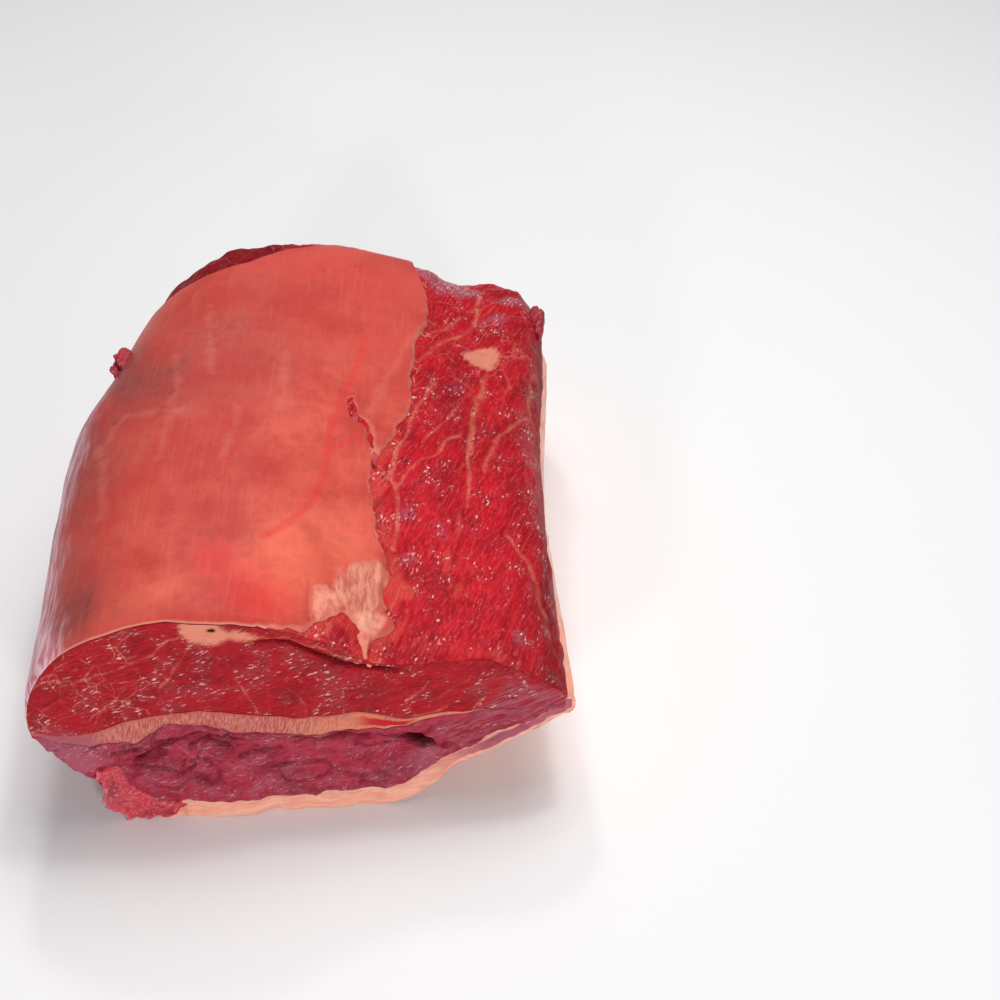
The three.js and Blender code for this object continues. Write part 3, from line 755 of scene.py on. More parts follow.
class Skin:
    """A closed surface put together from grids of points that share their edges. Each grid runs
    across, then towards the back, then outwards, so that its faces point the right way."""

    def __init__(self, **marks):
        self.points = []
        self.marks = {name: [] for name in marks}
        self.unmarked = marks
        self.count = 0
        self.faces = []

    def patch(self, points, **marks):
        """Adds a grid of points with their attribute values and returns the grid of their numbers."""
        numbers = np.arange(self.count, self.count + points[..., 0].size).reshape(points.shape[:2])
        self.points.append(points.reshape(-1, 3))
        for name, value in self.unmarked.items():
            whole = np.broadcast_to(marks.get(name, value), points.shape[:2])
            self.marks[name].append(whole.ravel())
        self.count += numbers.size
        return numbers

    def cover(self, numbers, flip=False, hidden=False):
        """Lays faces over a grid: one for each cell, or one for a whole block of cells whose
        points are all hidden. Such a block keeps every point on a side where it meets small
        cells or the rim of the grid, so that the surface stays closed."""
        cells = (numbers.shape[0] - 1, numbers.shape[1] - 1)
        step = HIDDEN_BLOCK
        blocks = [-(-count // step) for count in cells]
        whole = np.zeros(blocks, bool)
        hidden = np.broadcast_to(hidden, numbers.shape)
        for a, b in np.ndindex(*blocks):
            part = hidden[a * step : (a + 1) * step + 1, b * step : (b + 1) * step + 1]
            whole[a, b] = part.all()
        shown = ~np.kron(whole, np.ones((step, step), bool))[: cells[0], : cells[1]]
        corners = (numbers[:-1, :-1], numbers[1:, :-1], numbers[1:, 1:], numbers[:-1, 1:])
        quads = np.stack(corners, -1)[shown]
        self.faces.append(quads[:, ::-1] if flip else quads)
        for a, b in np.argwhere(whole):
            block = numbers[a * step : (a + 1) * step + 1, b * step : (b + 1) * step + 1]
            sides = (
                (block[:, 0], b > 0 and whole[a, b - 1]),
                (block[-1], a + 1 < blocks[0] and whole[a + 1, b]),
                (block[::-1, -1], b + 1 < blocks[1] and whole[a, b + 1]),
                (block[0, ::-1], a > 0 and whole[a - 1, b]),
            )
            outline = np.concatenate([side[:1] if joined else side[:-1] for side, joined in sides])
            self.faces.append(outline[None, ::-1] if flip else outline[None])

    def close(
        self, inner, outer, front, back, left=None, right=None, inner_hidden=False, outer_hidden=False
    ):
        """Joins an inner and an outer grid by the grids at their four sides. Where a side is
        None, the two meet there in one edge."""
        for side, column in ((left, 0), (right, -1)):
            if side is None:
                inner[column] = outer[column]
            else:
                side[:, 0] = inner[column]
                side[:, -1] = outer[column]
        for side, row in ((front, 0), (back, -1)):
            side[:, 0] = inner[:, row]
            side[:, -1] = outer[:, row]
            side[0] = outer[0, row] if left is None else left[row]
            side[-1] = outer[-1, row] if right is None else right[row]
        self.cover(inner, flip=True, hidden=inner_hidden)
        self.cover(outer, hidden=outer_hidden)
        self.cover(front)
        self.cover(back, flip=True)
        if left is not None:
            self.cover(left, flip=True)
        if right is not None:
            self.cover(right)

    def build(self, name, material):
        """Makes the mesh object, without repeated corners and unused points."""
        corners = []
        sizes = []
        for faces in self.faces:
            distinct = faces != np.roll(faces, 1, axis=1)
            enough = distinct.sum(1) > 2
            corners.append(faces[enough][distinct[enough]])
            sizes.append(distinct[enough].sum(1))
        used, corner_points = np.unique(np.concatenate(corners), return_inverse=True)
        sizes = np.concatenate(sizes)
        starts = np.cumsum(sizes) - sizes
        points = (np.concatenate(self.points)[used] - (BOX_MIDDLE, 0, 0)) * MM
        mesh = bpy.data.meshes.new(name)
        mesh.vertices.add(len(points))
        mesh.vertices.foreach_set("co", points.astype(np.float32).ravel())
        mesh.loops.add(len(corner_points))
        mesh.loops.foreach_set("vertex_index", corner_points.astype(np.int32))
        mesh.polygons.add(len(starts))
        mesh.polygons.foreach_set("loop_start", starts.astype(np.int32))
        mesh.update(calc_edges=True)
        for key, parts in self.marks.items():
            layer = mesh.attributes.new(key, "FLOAT", "POINT")
            layer.data.foreach_set("value", np.concatenate(parts)[used].astype(np.float32))
        mesh.shade_smooth()
        mesh.materials.append(material)
        piece = bpy.data.objects.new(name, mesh)
        bpy.context.scene.collection.objects.link(piece)
        return piece


def skin_relief(points, depth, strength):
    """How far the muscle's skin stands out of its smooth form: long soft lumps, bundles of fibre
    that run towards the back and fine grain, rougher at the back end and gone at the rim of the
    cut."""
    lumps = 0.9 * noise(points * (1, 0.6, 1), 26, 61) + 0.6 * noise(points, 9, 62, 2)
    lumps = lumps * (1 + 0.7 * ease((depth - 190) / 30))
    turned = np.stack((points[..., 0] - 0.4 * points[..., 1], points[..., 1], points[..., 2]), -1)
    bundles = 0.35 * noise(turned * (1, 0.3, 1), 3.4, 63, 2)
    grain = 0.14 * noise(points, 1.7, 64)
    return strength * (lumps + bundles + grain) * ease(depth / 3)


def seam_edges(across, depth, thickest):
    """Heights of the seam's lower and upper edge, which wander a little where the seam is thick."""
    middle = seam_height(across, depth)
    half = seam_half_thickness(across, depth, thickest)
    spot = np.stack(np.broadcast_arrays(across * 200.0, depth * 1.0, 0.0), -1)
    room = ease(across / 0.12) * (1 - ease((across - 0.58) / 0.12))
    lower = middle - half - (0.7 * noise(spot, 9, 21) + 0.7 * noise(spot, 3.4, 23)) * room
    upper = middle + half + 0.5 * noise(spot, 13, 22, 2) * room
    return lower, upper


def shares(count):
    """Evenly spaced shares from 0 to 1."""
    return np.arange(count + 1) / count


def ring_stations(height_at, wall_share, count):
    """Stations along an outline from the left edge to the right one, at equal lengths: their
    place across, and how far they are up or down the blunt edges, from 0 to 1."""
    run = shares(4000)
    across = across_at(TOP_STEPS * np.clip((run - wall_share) / (1 - 2 * wall_share), 0, 1))
    wall = np.clip(np.minimum(run, 1 - run) / wall_share, 0, 1)
    points = place(across, SPACING_DEPTH, height_at(across, wall, SPACING_DEPTH))
    even = even_shares(points, count)
    return np.interp(even, run, across), np.interp(even, run, wall)


def even_seam(edge_at, count):
    """Places across along an edge of the seam, at equal lengths."""
    across = shares(1000)
    points = place(across, 0.0, edge_at(across, 0.0))
    return np.interp(even_shares(points, count), across, across)


def between(start, end, count):
    """A grid of points on straight lines from each start point to its end point."""
    return start[:, None] + (end - start)[:, None] * shares(count)[None, :, None]


def cut_face(start, end, count):
    """The cut face between two rims, with all its relief."""
    points = between(start, end, count)
    return on_cut(points[..., 0], points[..., 2])


def back_face(start, end, count, strength):
    """The end face: straight lines between two rims, bulging out a little and rough as the skin."""
    points = between(start, end, count)
    from_middle = np.hypot((points[..., 0] + 5) / 62, (points[..., 2] - 55) / 38)
    points[..., 1] += BACK_BULGE * (1 - np.clip(from_middle, 0, 1) ** 2)
    points[:, 1:-1, 1] += 0.6 * skin_relief(points[:, 1:-1], DEPTH, strength)
    return points


def cut_marks(face):
    """Attributes of the cut face: marbling, the nodule of fat with its hole painted as shade, the
    grey wedge, membrane with painted sheen, painted light above the lip, and painted shade."""
    x = face[..., 0]
    z = face[..., 2]
    u, v = cut_wander(x, z)
    nodule = inside_by(rounded(NODULE), u, z)
    hole = np.hypot(0.8 * (x - NODULE_HOLE[0]), 1.6 * (z - NODULE_HOLE[1]))
    hole = hole - NODULE_HOLE_RADIUS
    web = 0.1 + 0.8 * ease((-42 - x) / 14) * ease((z - 45) / 6)
    web = web + 0.3 * bump(x, -15, 28) * bump(z, 24, 12)
    ridges = [distance_to(rounded(line), u, v + 1.7) for _, _, *line in CRACKS]
    return {
        "vein": np.minimum(nearest_vein(FACE_VEINS, x, z), np.min(ridges, 0)),
        "fat": nodule,
        "cut": 1,
        "wedge": ease((inside_by(WEDGE_OUTLINE, u, v) + 3) / 9),
        "web": web,
        "sheen": spots(FACE_SHEENS, x, z),
        # painted light: the strip above the lip is lighter, as it faces up
        "flush": 0.3 * ease((z - np.interp(x, LIP_X, LIP_HEIGHT) - 1) / 2) * ease((x + 16) / 8),
        # painted shade in the pocket, cracks, lip groove and folds, and a spot of it for the nodule's hole
        "hollow": np.maximum(cut_shadow(x, z), ease(0.5 - hole / 0.7)),
    }


def spots(places, x, depth):
    """Sum of soft round spots in plan, each with its own strength and half sizes."""
    total = 0
    for strength, spot_x, spot_depth, wide, long in places:
        total = total + strength * bump(x, spot_x, wide) * bump(depth, spot_depth, long)
    return total


def cap_cover(x, depth):
    """How far a place in plan lies under the cap; below 0 outside it. The torn edges are ragged."""
    spot = in_plane(x, depth)
    right = 0.95 * (np.interp(depth, *np.transpose(CAP_RIGHT_EDGE)) - x)
    back = 0.95 * (np.interp(x, *np.transpose(CAP_BACK_EDGE)) - depth)
    notch = -inside_by(rounded(CAP_NOTCH), x, depth)
    tear = distance_to(rounded(CAP_TEAR), x, depth) - CAP_TEAR_HALF_WIDTH
    ragged = 0.7 * noise(spot, 5, 71, 3) + 0.5 * noise(spot, 2, 74, 2)
    return np.minimum(np.minimum(right, back), np.minimum(notch, tear)) + ragged


def muscle_grids(sizes, outline, seam_side):
    """What both muscles share. The outer grid follows the outline from the left edge to the right
    one, and the inner grid follows the seam's lower edge (side 0) or upper edge (side 1). Returns
    the depths of their rows, the places across, the shares up the blunt edges and both grids."""
    step = sizes.mesh_step / MM
    seam = sizes.seam_thickness / MM
    rows = depths(step)[None]
    count = HIDDEN_BLOCK * int(MUSCLE_LENGTH / step / HIDDEN_BLOCK)

    def seam_edge(across, depth):
        return seam_edges(across, depth, seam)[seam_side]

    def height_at(across, wall, depth):
        start = seam_edge(across, depth)
        return start + (outline(across, depth) - start) * wall

    across, wall = ring_stations(height_at, EDGE_SHARE, count)
    across = across[:, None]
    wall = wall[:, None]
    ring = with_cut_detail(place(across, rows, height_at(across, wall, rows)), rows)
    seam_across = even_seam(seam_edge, count)[:, None]
    inner = with_cut_detail(place(seam_across, rows, seam_edge(seam_across, rows)), rows)
    return rows, across, wall, ring, inner


def muscle_skin(sizes, low, high, face_rows, low_marks, high_marks, low_hidden, high_hidden):
    """Joins the lower and the upper grid of a muscle by its cut face and its end face."""
    face = cut_face(low[:, 0], high[:, 0], face_rows)
    end_face = back_face(low[:, -1], high[:, -1], END_FACE_ROWS, sizes.skin_roughness)
    skin = Skin(**MUSCLE_MARKS)
    skin.close(
        inner=skin.patch(low, **low_marks),
        outer=skin.patch(high, **high_marks),
        front=skin.patch(face, **cut_marks(face)),
        back=skin.patch(end_face),
        inner_hidden=low_hidden,
        outer_hidden=high_hidden,
    )
    return skin


def upper_muscle_skin(sizes):
    """The muscle above the seam: its top carried back row by row, closed by the cut face, the end
    face and a hidden face along the seam."""
    rows, _, wall, ring, low = muscle_grids(sizes, top_height, 1)
    depth = rows + 0 * ring[..., 0]
    vein = nearest_vein(TOP_VEINS, ring[..., 0], depth)
    relief = skin_relief(ring, rows, sizes.skin_roughness) - 0.5 * bump(np.maximum(vein, 0), 0, 1.4)
    top = ring + grid_normals(ring) * relief[..., None]
    x = top[..., 0]
    cap = cap_cover(x, depth)
    # painted shade on the top: darker towards the back, towards the right edge and at the back left end
    shade = 0.1 * ease((depth - 80) / 70) + 0.12 * ease((x - 72) / 18) + 0.3 * ease((x - 89) / 7)
    top_marks = {
        "vein": vein,
        "fat": inside_by(rounded(TOP_FAT_PATCH), x, depth),
        "web": 0.6 * ease((depth - 120) / 40) + 0.8 * bump(cap, -3, 4),
        "sheen": spots(TOP_SHEENS, x, depth),
        "flush": spots(TOP_FLUSHES, x, depth) + 0.6 * bump(cap, -2.5, 4) * ease((120 - depth) / 20),
        "hollow": shade + 0.5 * ease((depth - 198) / 12) * ease((-8 - x) / 20),
    }
    low[0] = top[0]
    low[-1] = top[-1]
    under_cap = (cap > 3.5) & (wall == 1) & (rows > 1.5)
    return muscle_skin(sizes, low, top, UPPER_FACE_ROWS, {}, top_marks, True, under_cap)


def lower_muscle_skin(sizes):
    """The muscle below the seam, made as the upper one is, with its outer skin underneath."""
    rows, across, wall, ring, high = muscle_grids(sizes, under_height, 0)
    under = ring - grid_normals(ring) * skin_relief(ring, rows, sizes.skin_roughness)[..., None]
    under[..., 2] = np.maximum(under[..., 2], 0.2)
    # grey membrane under and up the left side, frayed; its grey stands partly for a painted sheen
    frayed = under[..., 2] + 7 * noise(under * (1, 0.35, 1), 9, 95, 3)
    membrane = 0.6 + 0.9 * ease((frayed - 28) / 18) * ease((-70 - under[..., 0]) / 20)
    high[0] = under[0]
    high[-1] = under[-1]
    on_bed = (across > 0.24) & (wall == 1) & (rows > 1.5) & (rows < DEPTH - 20)
    return muscle_skin(sizes, under, high, LOWER_FACE_ROWS, {"sheen": membrane}, {}, on_bed, True)


def gristle_seam_skin(sizes):
    """The band between the muscles: its edges are theirs, and its cut face bulges a little."""
    step = sizes.mesh_step / MM
    seam = sizes.seam_thickness / MM
    rows = depths(step)[None]
    columns = HIDDEN_BLOCK * int(SEAM_LENGTH / step / HIDDEN_BLOCK)
    across = SEAM_END * shares(columns)[:, None]
    low, high = seam_edges(across, rows, seam)
    lower = with_cut_detail(place(across, rows, low), rows)
    upper = with_cut_detail(place(across, rows, high), rows)
    level = shares(SEAM_LEVELS)[None]
    face = cut_face(lower[:, 0], upper[:, 0], SEAM_LEVELS)
    bulge = 0.8 * (1 - (2 * level - 1) ** 2) * np.clip((upper - lower)[:, :1, 2] / 4, 0, 1)
    face[..., 1] -= bulge
    end_face = back_face(lower[:, -1], upper[:, -1], SEAM_LEVELS, sizes.skin_roughness)
    skin = Skin(level=0)
    skin.close(
        inner=skin.patch(lower),
        outer=skin.patch(upper, level=1),
        front=skin.patch(face, level=level),
        back=skin.patch(end_face, level=level),
        left=skin.patch(between(lower[0], upper[0], SEAM_LEVELS), level=level),
        inner_hidden=True,
        outer_hidden=True,
    )
    return skin


def cap_grid(step):
    """Places across and depths of the cap's grid: columns at equal lengths, wider at the right,
    and rows, which end a margin beyond the sheet's torn right edge and its back edge."""
    run = shares(3000)
    across_line = across_at(TOP_STEPS * run)
    line = place(across_line, SPACING_DEPTH, top_height(across_line, SPACING_DEPTH))
    lengths = length_so_far(line)
    reach = np.interp(32, line[:, 0], lengths)
    spacing = np.interp(lengths / reach, (0.6, 0.75), (1.6, step))
    wanted = running_total(np.diff(lengths) / spacing[1:])
    wanted = wanted / np.interp(reach, lengths, wanted)
    columns = np.interp(shares(HIDDEN_BLOCK * CAP_BLOCKS[0]), wanted, across_line)[:, None]
    column_x = left_side(0) + columns * (right_side(0) - left_side(0))
    last_depth = np.interp(column_x, *np.transpose(CAP_BACK_EDGE)) + CAP_MARGIN
    depth = shares(HIDDEN_BLOCK * CAP_BLOCKS[1])[None] * last_depth
    last_x = np.interp(depth, *np.transpose(CAP_RIGHT_EDGE)) + CAP_MARGIN
    last_across = (last_x - left_side(depth)) / (right_side(depth) - left_side(depth))
    return columns * last_across / columns[-1], depth


def fat_cap_skin(sizes):
    """The sheet on top: it lies on the muscle by its own thickness and dives into it where the
    sheet ends, so that its torn edges show where they cross the muscle's skin."""
    across, depth = cap_grid(sizes.mesh_step / MM)
    thickness = sizes.cap_thickness / MM
    base = with_cut_detail(place(across, depth, top_height(across, depth)), depth)
    outwards = grid_normals(base)
    x = base[..., 0]
    cover = cap_cover(x, depth)
    inside = ease(cover / 3)
    fray = 1.2 * noise(base * (1, 0.3, 1), 2.2, 84, 2)
    pale = ease((inside_by(rounded(GREY_PATCH), x, depth) + 1.4 * fray + 1.5) / 4)
    flaps = [inside_by(rounded(flap), x, depth) + fray for flap in PEACH_FLAPS]
    peach = ease((np.maximum(*flaps) + 0.8) / 2.2)
    # painted sheen on the membrane down the left side, which is also creased there
    silver = ease((-75 - np.minimum(0.3 * depth, 10) + 3 * fray - x) / 13)
    silver = silver * (1 - ease((depth - 125) / 45))
    belly = 2.0 * bump(depth, 70, 26) + 2.8 * bump(depth, 128, 22)
    relief = 0.3 * noise(base * (1, 0.4, 1), 15, 81, 2) + 0.05 * noise(base * (1, 0.15, 1), 1.5, 82)
    relief = relief + pale * (0.2 + 0.35 * noise(base * (1, 0.3, 1), 1.8, 83, 2)) + 0.15 * peach
    relief = relief + silver * (0.9 * noise(base * (1, 0.12, 0.4), 3.0, 85, 2) + 0.3)
    at_corner = (1 - ease(across / 0.03)) * (1 - ease((depth - 4) / 26))
    relief = relief * (1 - 0.6 * at_corner) + belly * (1 - ease((x + 92) / 14))
    rim_share = (0.25 + 0.75 * ease(depth / 3)) * (1 - 0.5 * at_corner)
    rise = thickness * rim_share * ease((cover + 0.3) / 1.6) - CAP_DIVE * ease(-cover / 1.5)
    slits = [distance_to(rounded(line), x, depth) for line in CAP_SLITS]
    slit = bump(np.minimum(*slits), 0, SLIT_HALF_WIDTH)
    rise = rise + relief * inside * ease((depth + 1) / 5) - SLIT_DEPTH * slit
    outer = base + outwards * rise[..., None]
    inner = base - outwards * (0.05 + 3.3 * ease(depth / 4))[..., None]
    branch = distance_to(rounded(CAP_BRANCH), x, depth) + 0.4
    marks = {
        "cover": cover,
        "pale": pale,
        "peach": peach,
        "fan": 30 * (x - 24) / (depth + 34),
        "silver": silver,
        "front": ease((0.8 - depth) / 0.8) * (1 - silver),
        "red": np.minimum(distance_to(rounded(CAP_RED_VEIN), x, depth), branch),
        "lines": nearest_vein(CAP_PALE_LINES, x, depth),
        "blush": spots(CAP_BLUSHES, x, depth),
        # browner spots, painted shade down the left side, and painted shade in the slits
        "brown": spots(CAP_BROWNS_AND_SHADE, x, depth) + 0.9 * slit,
        # painted light: lighter and warmer towards the front
        "glow": spots(CAP_PAINTED_LIGHTS, x, depth),
    }
    at_front = {name: values[:, :1] for name, values in marks.items()}
    at_left = {name: values[0][:, None] for name, values in marks.items()}
    skin = Skin(**CAP_MARKS)
    skin.close(
        inner=skin.patch(inner),
        outer=skin.patch(outer, **marks),
        front=skin.patch(between(inner[:, 0], outer[:, 0], EDGE_LEVELS), **at_front),
        back=skin.patch(between(inner[:, -1], outer[:, -1], EDGE_LEVELS)),
        left=skin.patch(between(inner[0], outer[0], EDGE_LEVELS), **at_left),
        right=skin.patch(between(inner[-1], outer[-1], EDGE_LEVELS)),
        inner_hidden=True,
        outer_hidden=cover < -2.5,
    )
    return skin


def outline_height(step, depth):
    """Height and place across of the muscle's whole outline, by the step along it: over the top
    from left to right, one more step down the right edge, and as many back underneath."""
    over = np.minimum(step, TOP_STEPS)
    back = np.minimum(2 * TOP_STEPS + 1 - step, TOP_STEPS)
    across = across_at(np.where(step < TOP_STEPS + 0.5, over, back))
    top = top_height(across, depth)
    under = under_height(across, depth)
    return across, top + (under - top) * np.clip(step - TOP_STEPS, 0, 1)


def bottom_fat_skin(sizes):
    """The fat round the right side and underneath: the outline of the muscle from its top right
    to the left end of the fat, made thicker towards the bed and flattened by the table."""
    step = sizes.mesh_step / MM
    rows = depths(step * 1.3)[None]
    count = HIDDEN_BLOCK * int(FAT_LENGTH / step / HIDDEN_BLOCK)
    run = np.linspace(FAT_TOP_STEP, FAT_LEFT_STEP, 3000)
    across, height = outline_height(run, SPACING_DEPTH)
    even = even_shares(place(across, SPACING_DEPTH, height), count)
    stations = np.interp(even, shares(2999), run)[:, None]
    across, height = outline_height(stations, rows)
    base = with_cut_detail(place(across, rows, height), rows)
    outwards = grid_normals(base)
    outwards[..., 1] = 0
    outwards = outwards / np.linalg.norm(outwards, axis=-1, keepdims=True)
    underneath = stations - TOP_STEPS - 1
    on_side = blend(FAT_ON_SIDE, FAT_ON_SLOPE, underneath / 3)
    thickness = blend(on_side, FAT_BED + 1, (underneath - 5) / 5)
    ragged = FAT_TOP_STEP + 0.25 + 0.22 * noise(base, 9, 93, 3)
    thickness = thickness * ease((stations - ragged) / 0.35) * quarter((FAT_LEFT_STEP - stations) / 0.7, 2)
    lumps = 0.5 * noise(base, 17, 91, 2) + 0.2 * noise(base * (1, 0.5, 1), 4, 92, 2)
    lumps = lumps * ease(thickness / 3) * ease(rows / 4)
    buried = 0.04 + 0.9 * ease(rows / 3)
    outer = base + outwards * (thickness + lumps - buried)[..., None]
    outer[..., 2] = np.maximum(outer[..., 2], 0)
    inner = base - outwards * (1.1 + 1.2 * ease(rows / 3))[..., None]
    inner[..., 2] = np.maximum(inner[..., 2], 0.1)
    level = shares(FAT_LEVELS)[None]
    face = cut_face(inner[:, 0], outer[:, 0], FAT_LEVELS)
    face[..., 1] -= 0.35
    on_slope = 1 - ease((underneath - 6) / 3)
    skin = Skin(level=1, slope=0)
    skin.close(
        inner=skin.patch(inner),
        outer=skin.patch(outer),
        front=skin.patch(face, level=level, slope=on_slope),
        back=skin.patch(between(inner[:, -1], outer[:, -1], FAT_LEVELS), level=level),
        left=skin.patch(between(inner[0], outer[0], FAT_LEVELS), level=level),
        right=skin.patch(between(inner[-1], outer[-1], FAT_LEVELS), level=level),
        inner_hidden=True,
    )
    return skin


def scrap(centre, size, turn, seed):
    """A grid of points over a loose scrap of meat: a ball stretched to size, creased by noise and
    turned about the length of the piece. Its first and last rows are single points."""
    tilt = np.pi * shares(SCRAP_GRID[0])[:, None]
    spin = 2 * np.pi * shares(SCRAP_GRID[1])[None]
    ball = (np.sin(tilt) * np.cos(spin), np.cos(tilt), np.sin(tilt) * np.sin(spin))
    ball = np.stack(np.broadcast_arrays(*ball), -1)
    ball[:, -1] = ball[:, 0]
    swell = 1 + 0.34 * noise(ball + seed, 0.9, seed, 3)
    points = ball * swell[..., None] * np.array(size)
    cos, sin = math.cos(turn), math.sin(turn)
    x = centre[0] + points[..., 0] * cos + points[..., 2] * sin
    y = CUT_FACE + centre[1] + points[..., 1]
    z = centre[2] + points[..., 2] * cos - points[..., 0] * sin
    return np.stack((x, y, np.maximum(z, 0.1)), -1)


def evenly(line, count):
    """Places at equal lengths along a softly bent line."""
    points = rounded(line)
    spots_on_line = even_shares(points, count) * (len(points) - 1)
    return np.stack([np.interp(spots_on_line, np.arange(len(points)), part) for part in points.T], -1)


def torn_flap(skin):
    """Adds the torn flap: a sheet from its root to its ragged edge that thins outwards like a
    quarter of an ellipse, curls forwards with the square of the way out, and is lumpy."""
    out = shares(FLAP_GRID[0])[:, None]
    root, edge = (evenly(line, FLAP_GRID[1]) for line in (FLAP_ROOT, FLAP_EDGE))
    length = np.linalg.norm(edge - root, axis=-1)
    run = in_plane(FLAP_LENGTH * shares(FLAP_GRID[1]), 0 * length)
    reach = 1 + (1.1 * noise(run, 3.4, 121, 3) + 1.2 * noise(run, 9, 122)) / length
    flat = root + (edge - root) * (reach * out)[..., None]
    middle = on_cut(flat[..., 0], flat[..., 1])
    middle[..., 1] += 1.4 - FLAP_CURL * out**2 + 0.9 * noise(middle, 5, 123, 2) * out
    middle[..., 2] = np.maximum(middle[..., 2], 0.1)
    lumps = 1 + 0.5 * noise(middle * (1, 0, 1), 3.4, 124, 2)
    half = FLAP_HALF_THICKNESS * np.sqrt(1 - out**2) * lumps
    front = middle - half[..., None] * (0, 1, 0)
    back = middle + half[..., None] * (0, 1, 0)
    pale_edge = {"vein": (1 - out) * length - 0.9}
    skin.close(
        inner=skin.patch(back, **pale_edge),
        outer=skin.patch(front, **pale_edge),
        front=skin.patch(between(back[:, 0], front[:, 0], EDGE_LEVELS)),
        back=skin.patch(between(back[:, -1], front[:, -1], EDGE_LEVELS)),
        left=skin.patch(between(back[0], front[0], EDGE_LEVELS)),
    )


def scraps_skin(scraps, shade):
    """Loose scraps in one skin, each a closed ball, darkened by the shade."""
    skin = Skin(**MUSCLE_MARKS)
    for seed, (centre, size, turn) in enumerate(scraps):
        numbers = skin.patch(scrap(centre, size, turn, seed + 3), hollow=shade)
        numbers[:, -1] = numbers[:, 0]
        numbers[0] = numbers[0, 0]
        numbers[-1] = numbers[-1, 0]
        skin.cover(numbers, flip=True)
    return skin


def linear(hex_colour):
    """Turns an sRGB hex colour into the linear colour that shaders work with."""
    channels = [int(hex_colour[n : n + 2], 16) / 255 for n in (1, 3, 5)]
    return tuple(c / 12.92 if c <= 0.04045 else ((c + 0.055) / 1.055) ** 2.4 for c in channels)


def add_node(tree, kind, inputs=(), output=0, **settings):
    """Adds a node with its settings and returns one of its outputs. `inputs` holds a value or
    another node's output for each socket in use, in their order or by name."""
    node = tree.nodes.new("ShaderNode" + kind)
    for name, value in settings.items():
        setattr(node, name, value)
    sockets = [socket for socket in node.inputs if socket.enabled]
    named = {socket.name: socket for socket in reversed(sockets)}
    for key, value in inputs.items() if isinstance(inputs, dict) else enumerate(inputs):
        socket = named[key] if isinstance(key, str) else sockets[key]
        if isinstance(value, bpy.types.NodeSocket):
            tree.links.new(value, socket)
        else:
            socket.default_value = (*value, 1) if socket.type == "RGBA" else value
    live = [socket for socket in node.outputs if socket.enabled]
    return live[output] if live else None


def new_material(name):
    """An empty node material, the function that adds a node to it, and the places of its surface
    in millimetres."""
    material = bpy.data.materials.new(name)
    material.use_nodes = True
    material.node_tree.nodes.clear()
    add = functools.partial(add_node, material.node_tree)
    metres = add("TexCoord", output=3)
    return material, add, add("VectorMath", {"Vector": metres, "Scale": 1 / MM}, operation="SCALE")


def wet_finish(add, colour, height, film_height, gloss, film_roughness):
    """Soft tissue under a film of juice: light spreads a little way through the flesh, redder the
    deeper it goes, and the film, with an index near water's, glints where it is creased. Both
    heights are in millimetres."""
    relief = add("Bump", {"Height": height, "Distance": MM, "Strength": 1})
    film_relief = add("Bump", {"Height": film_height, "Distance": MM, "Strength": 1})
    inputs = {
        "Base Color": colour,
        "Roughness": 0.55,
        "IOR": 1.38,
        "Specular IOR Level": 0.1,
        "Normal": relief,
        "Subsurface Weight": 0.3,
        "Subsurface Radius": (1.0, 0.25, 0.2),
        "Subsurface Scale": 1.6 * MM,
        "Coat Weight": gloss,
        "Coat Roughness": film_roughness,
        "Coat IOR": 1.33,
        "Coat Normal": film_relief,
    }
    shader = add("BsdfPrincipled", inputs)
    add("OutputMaterial", {"Surface": shader})


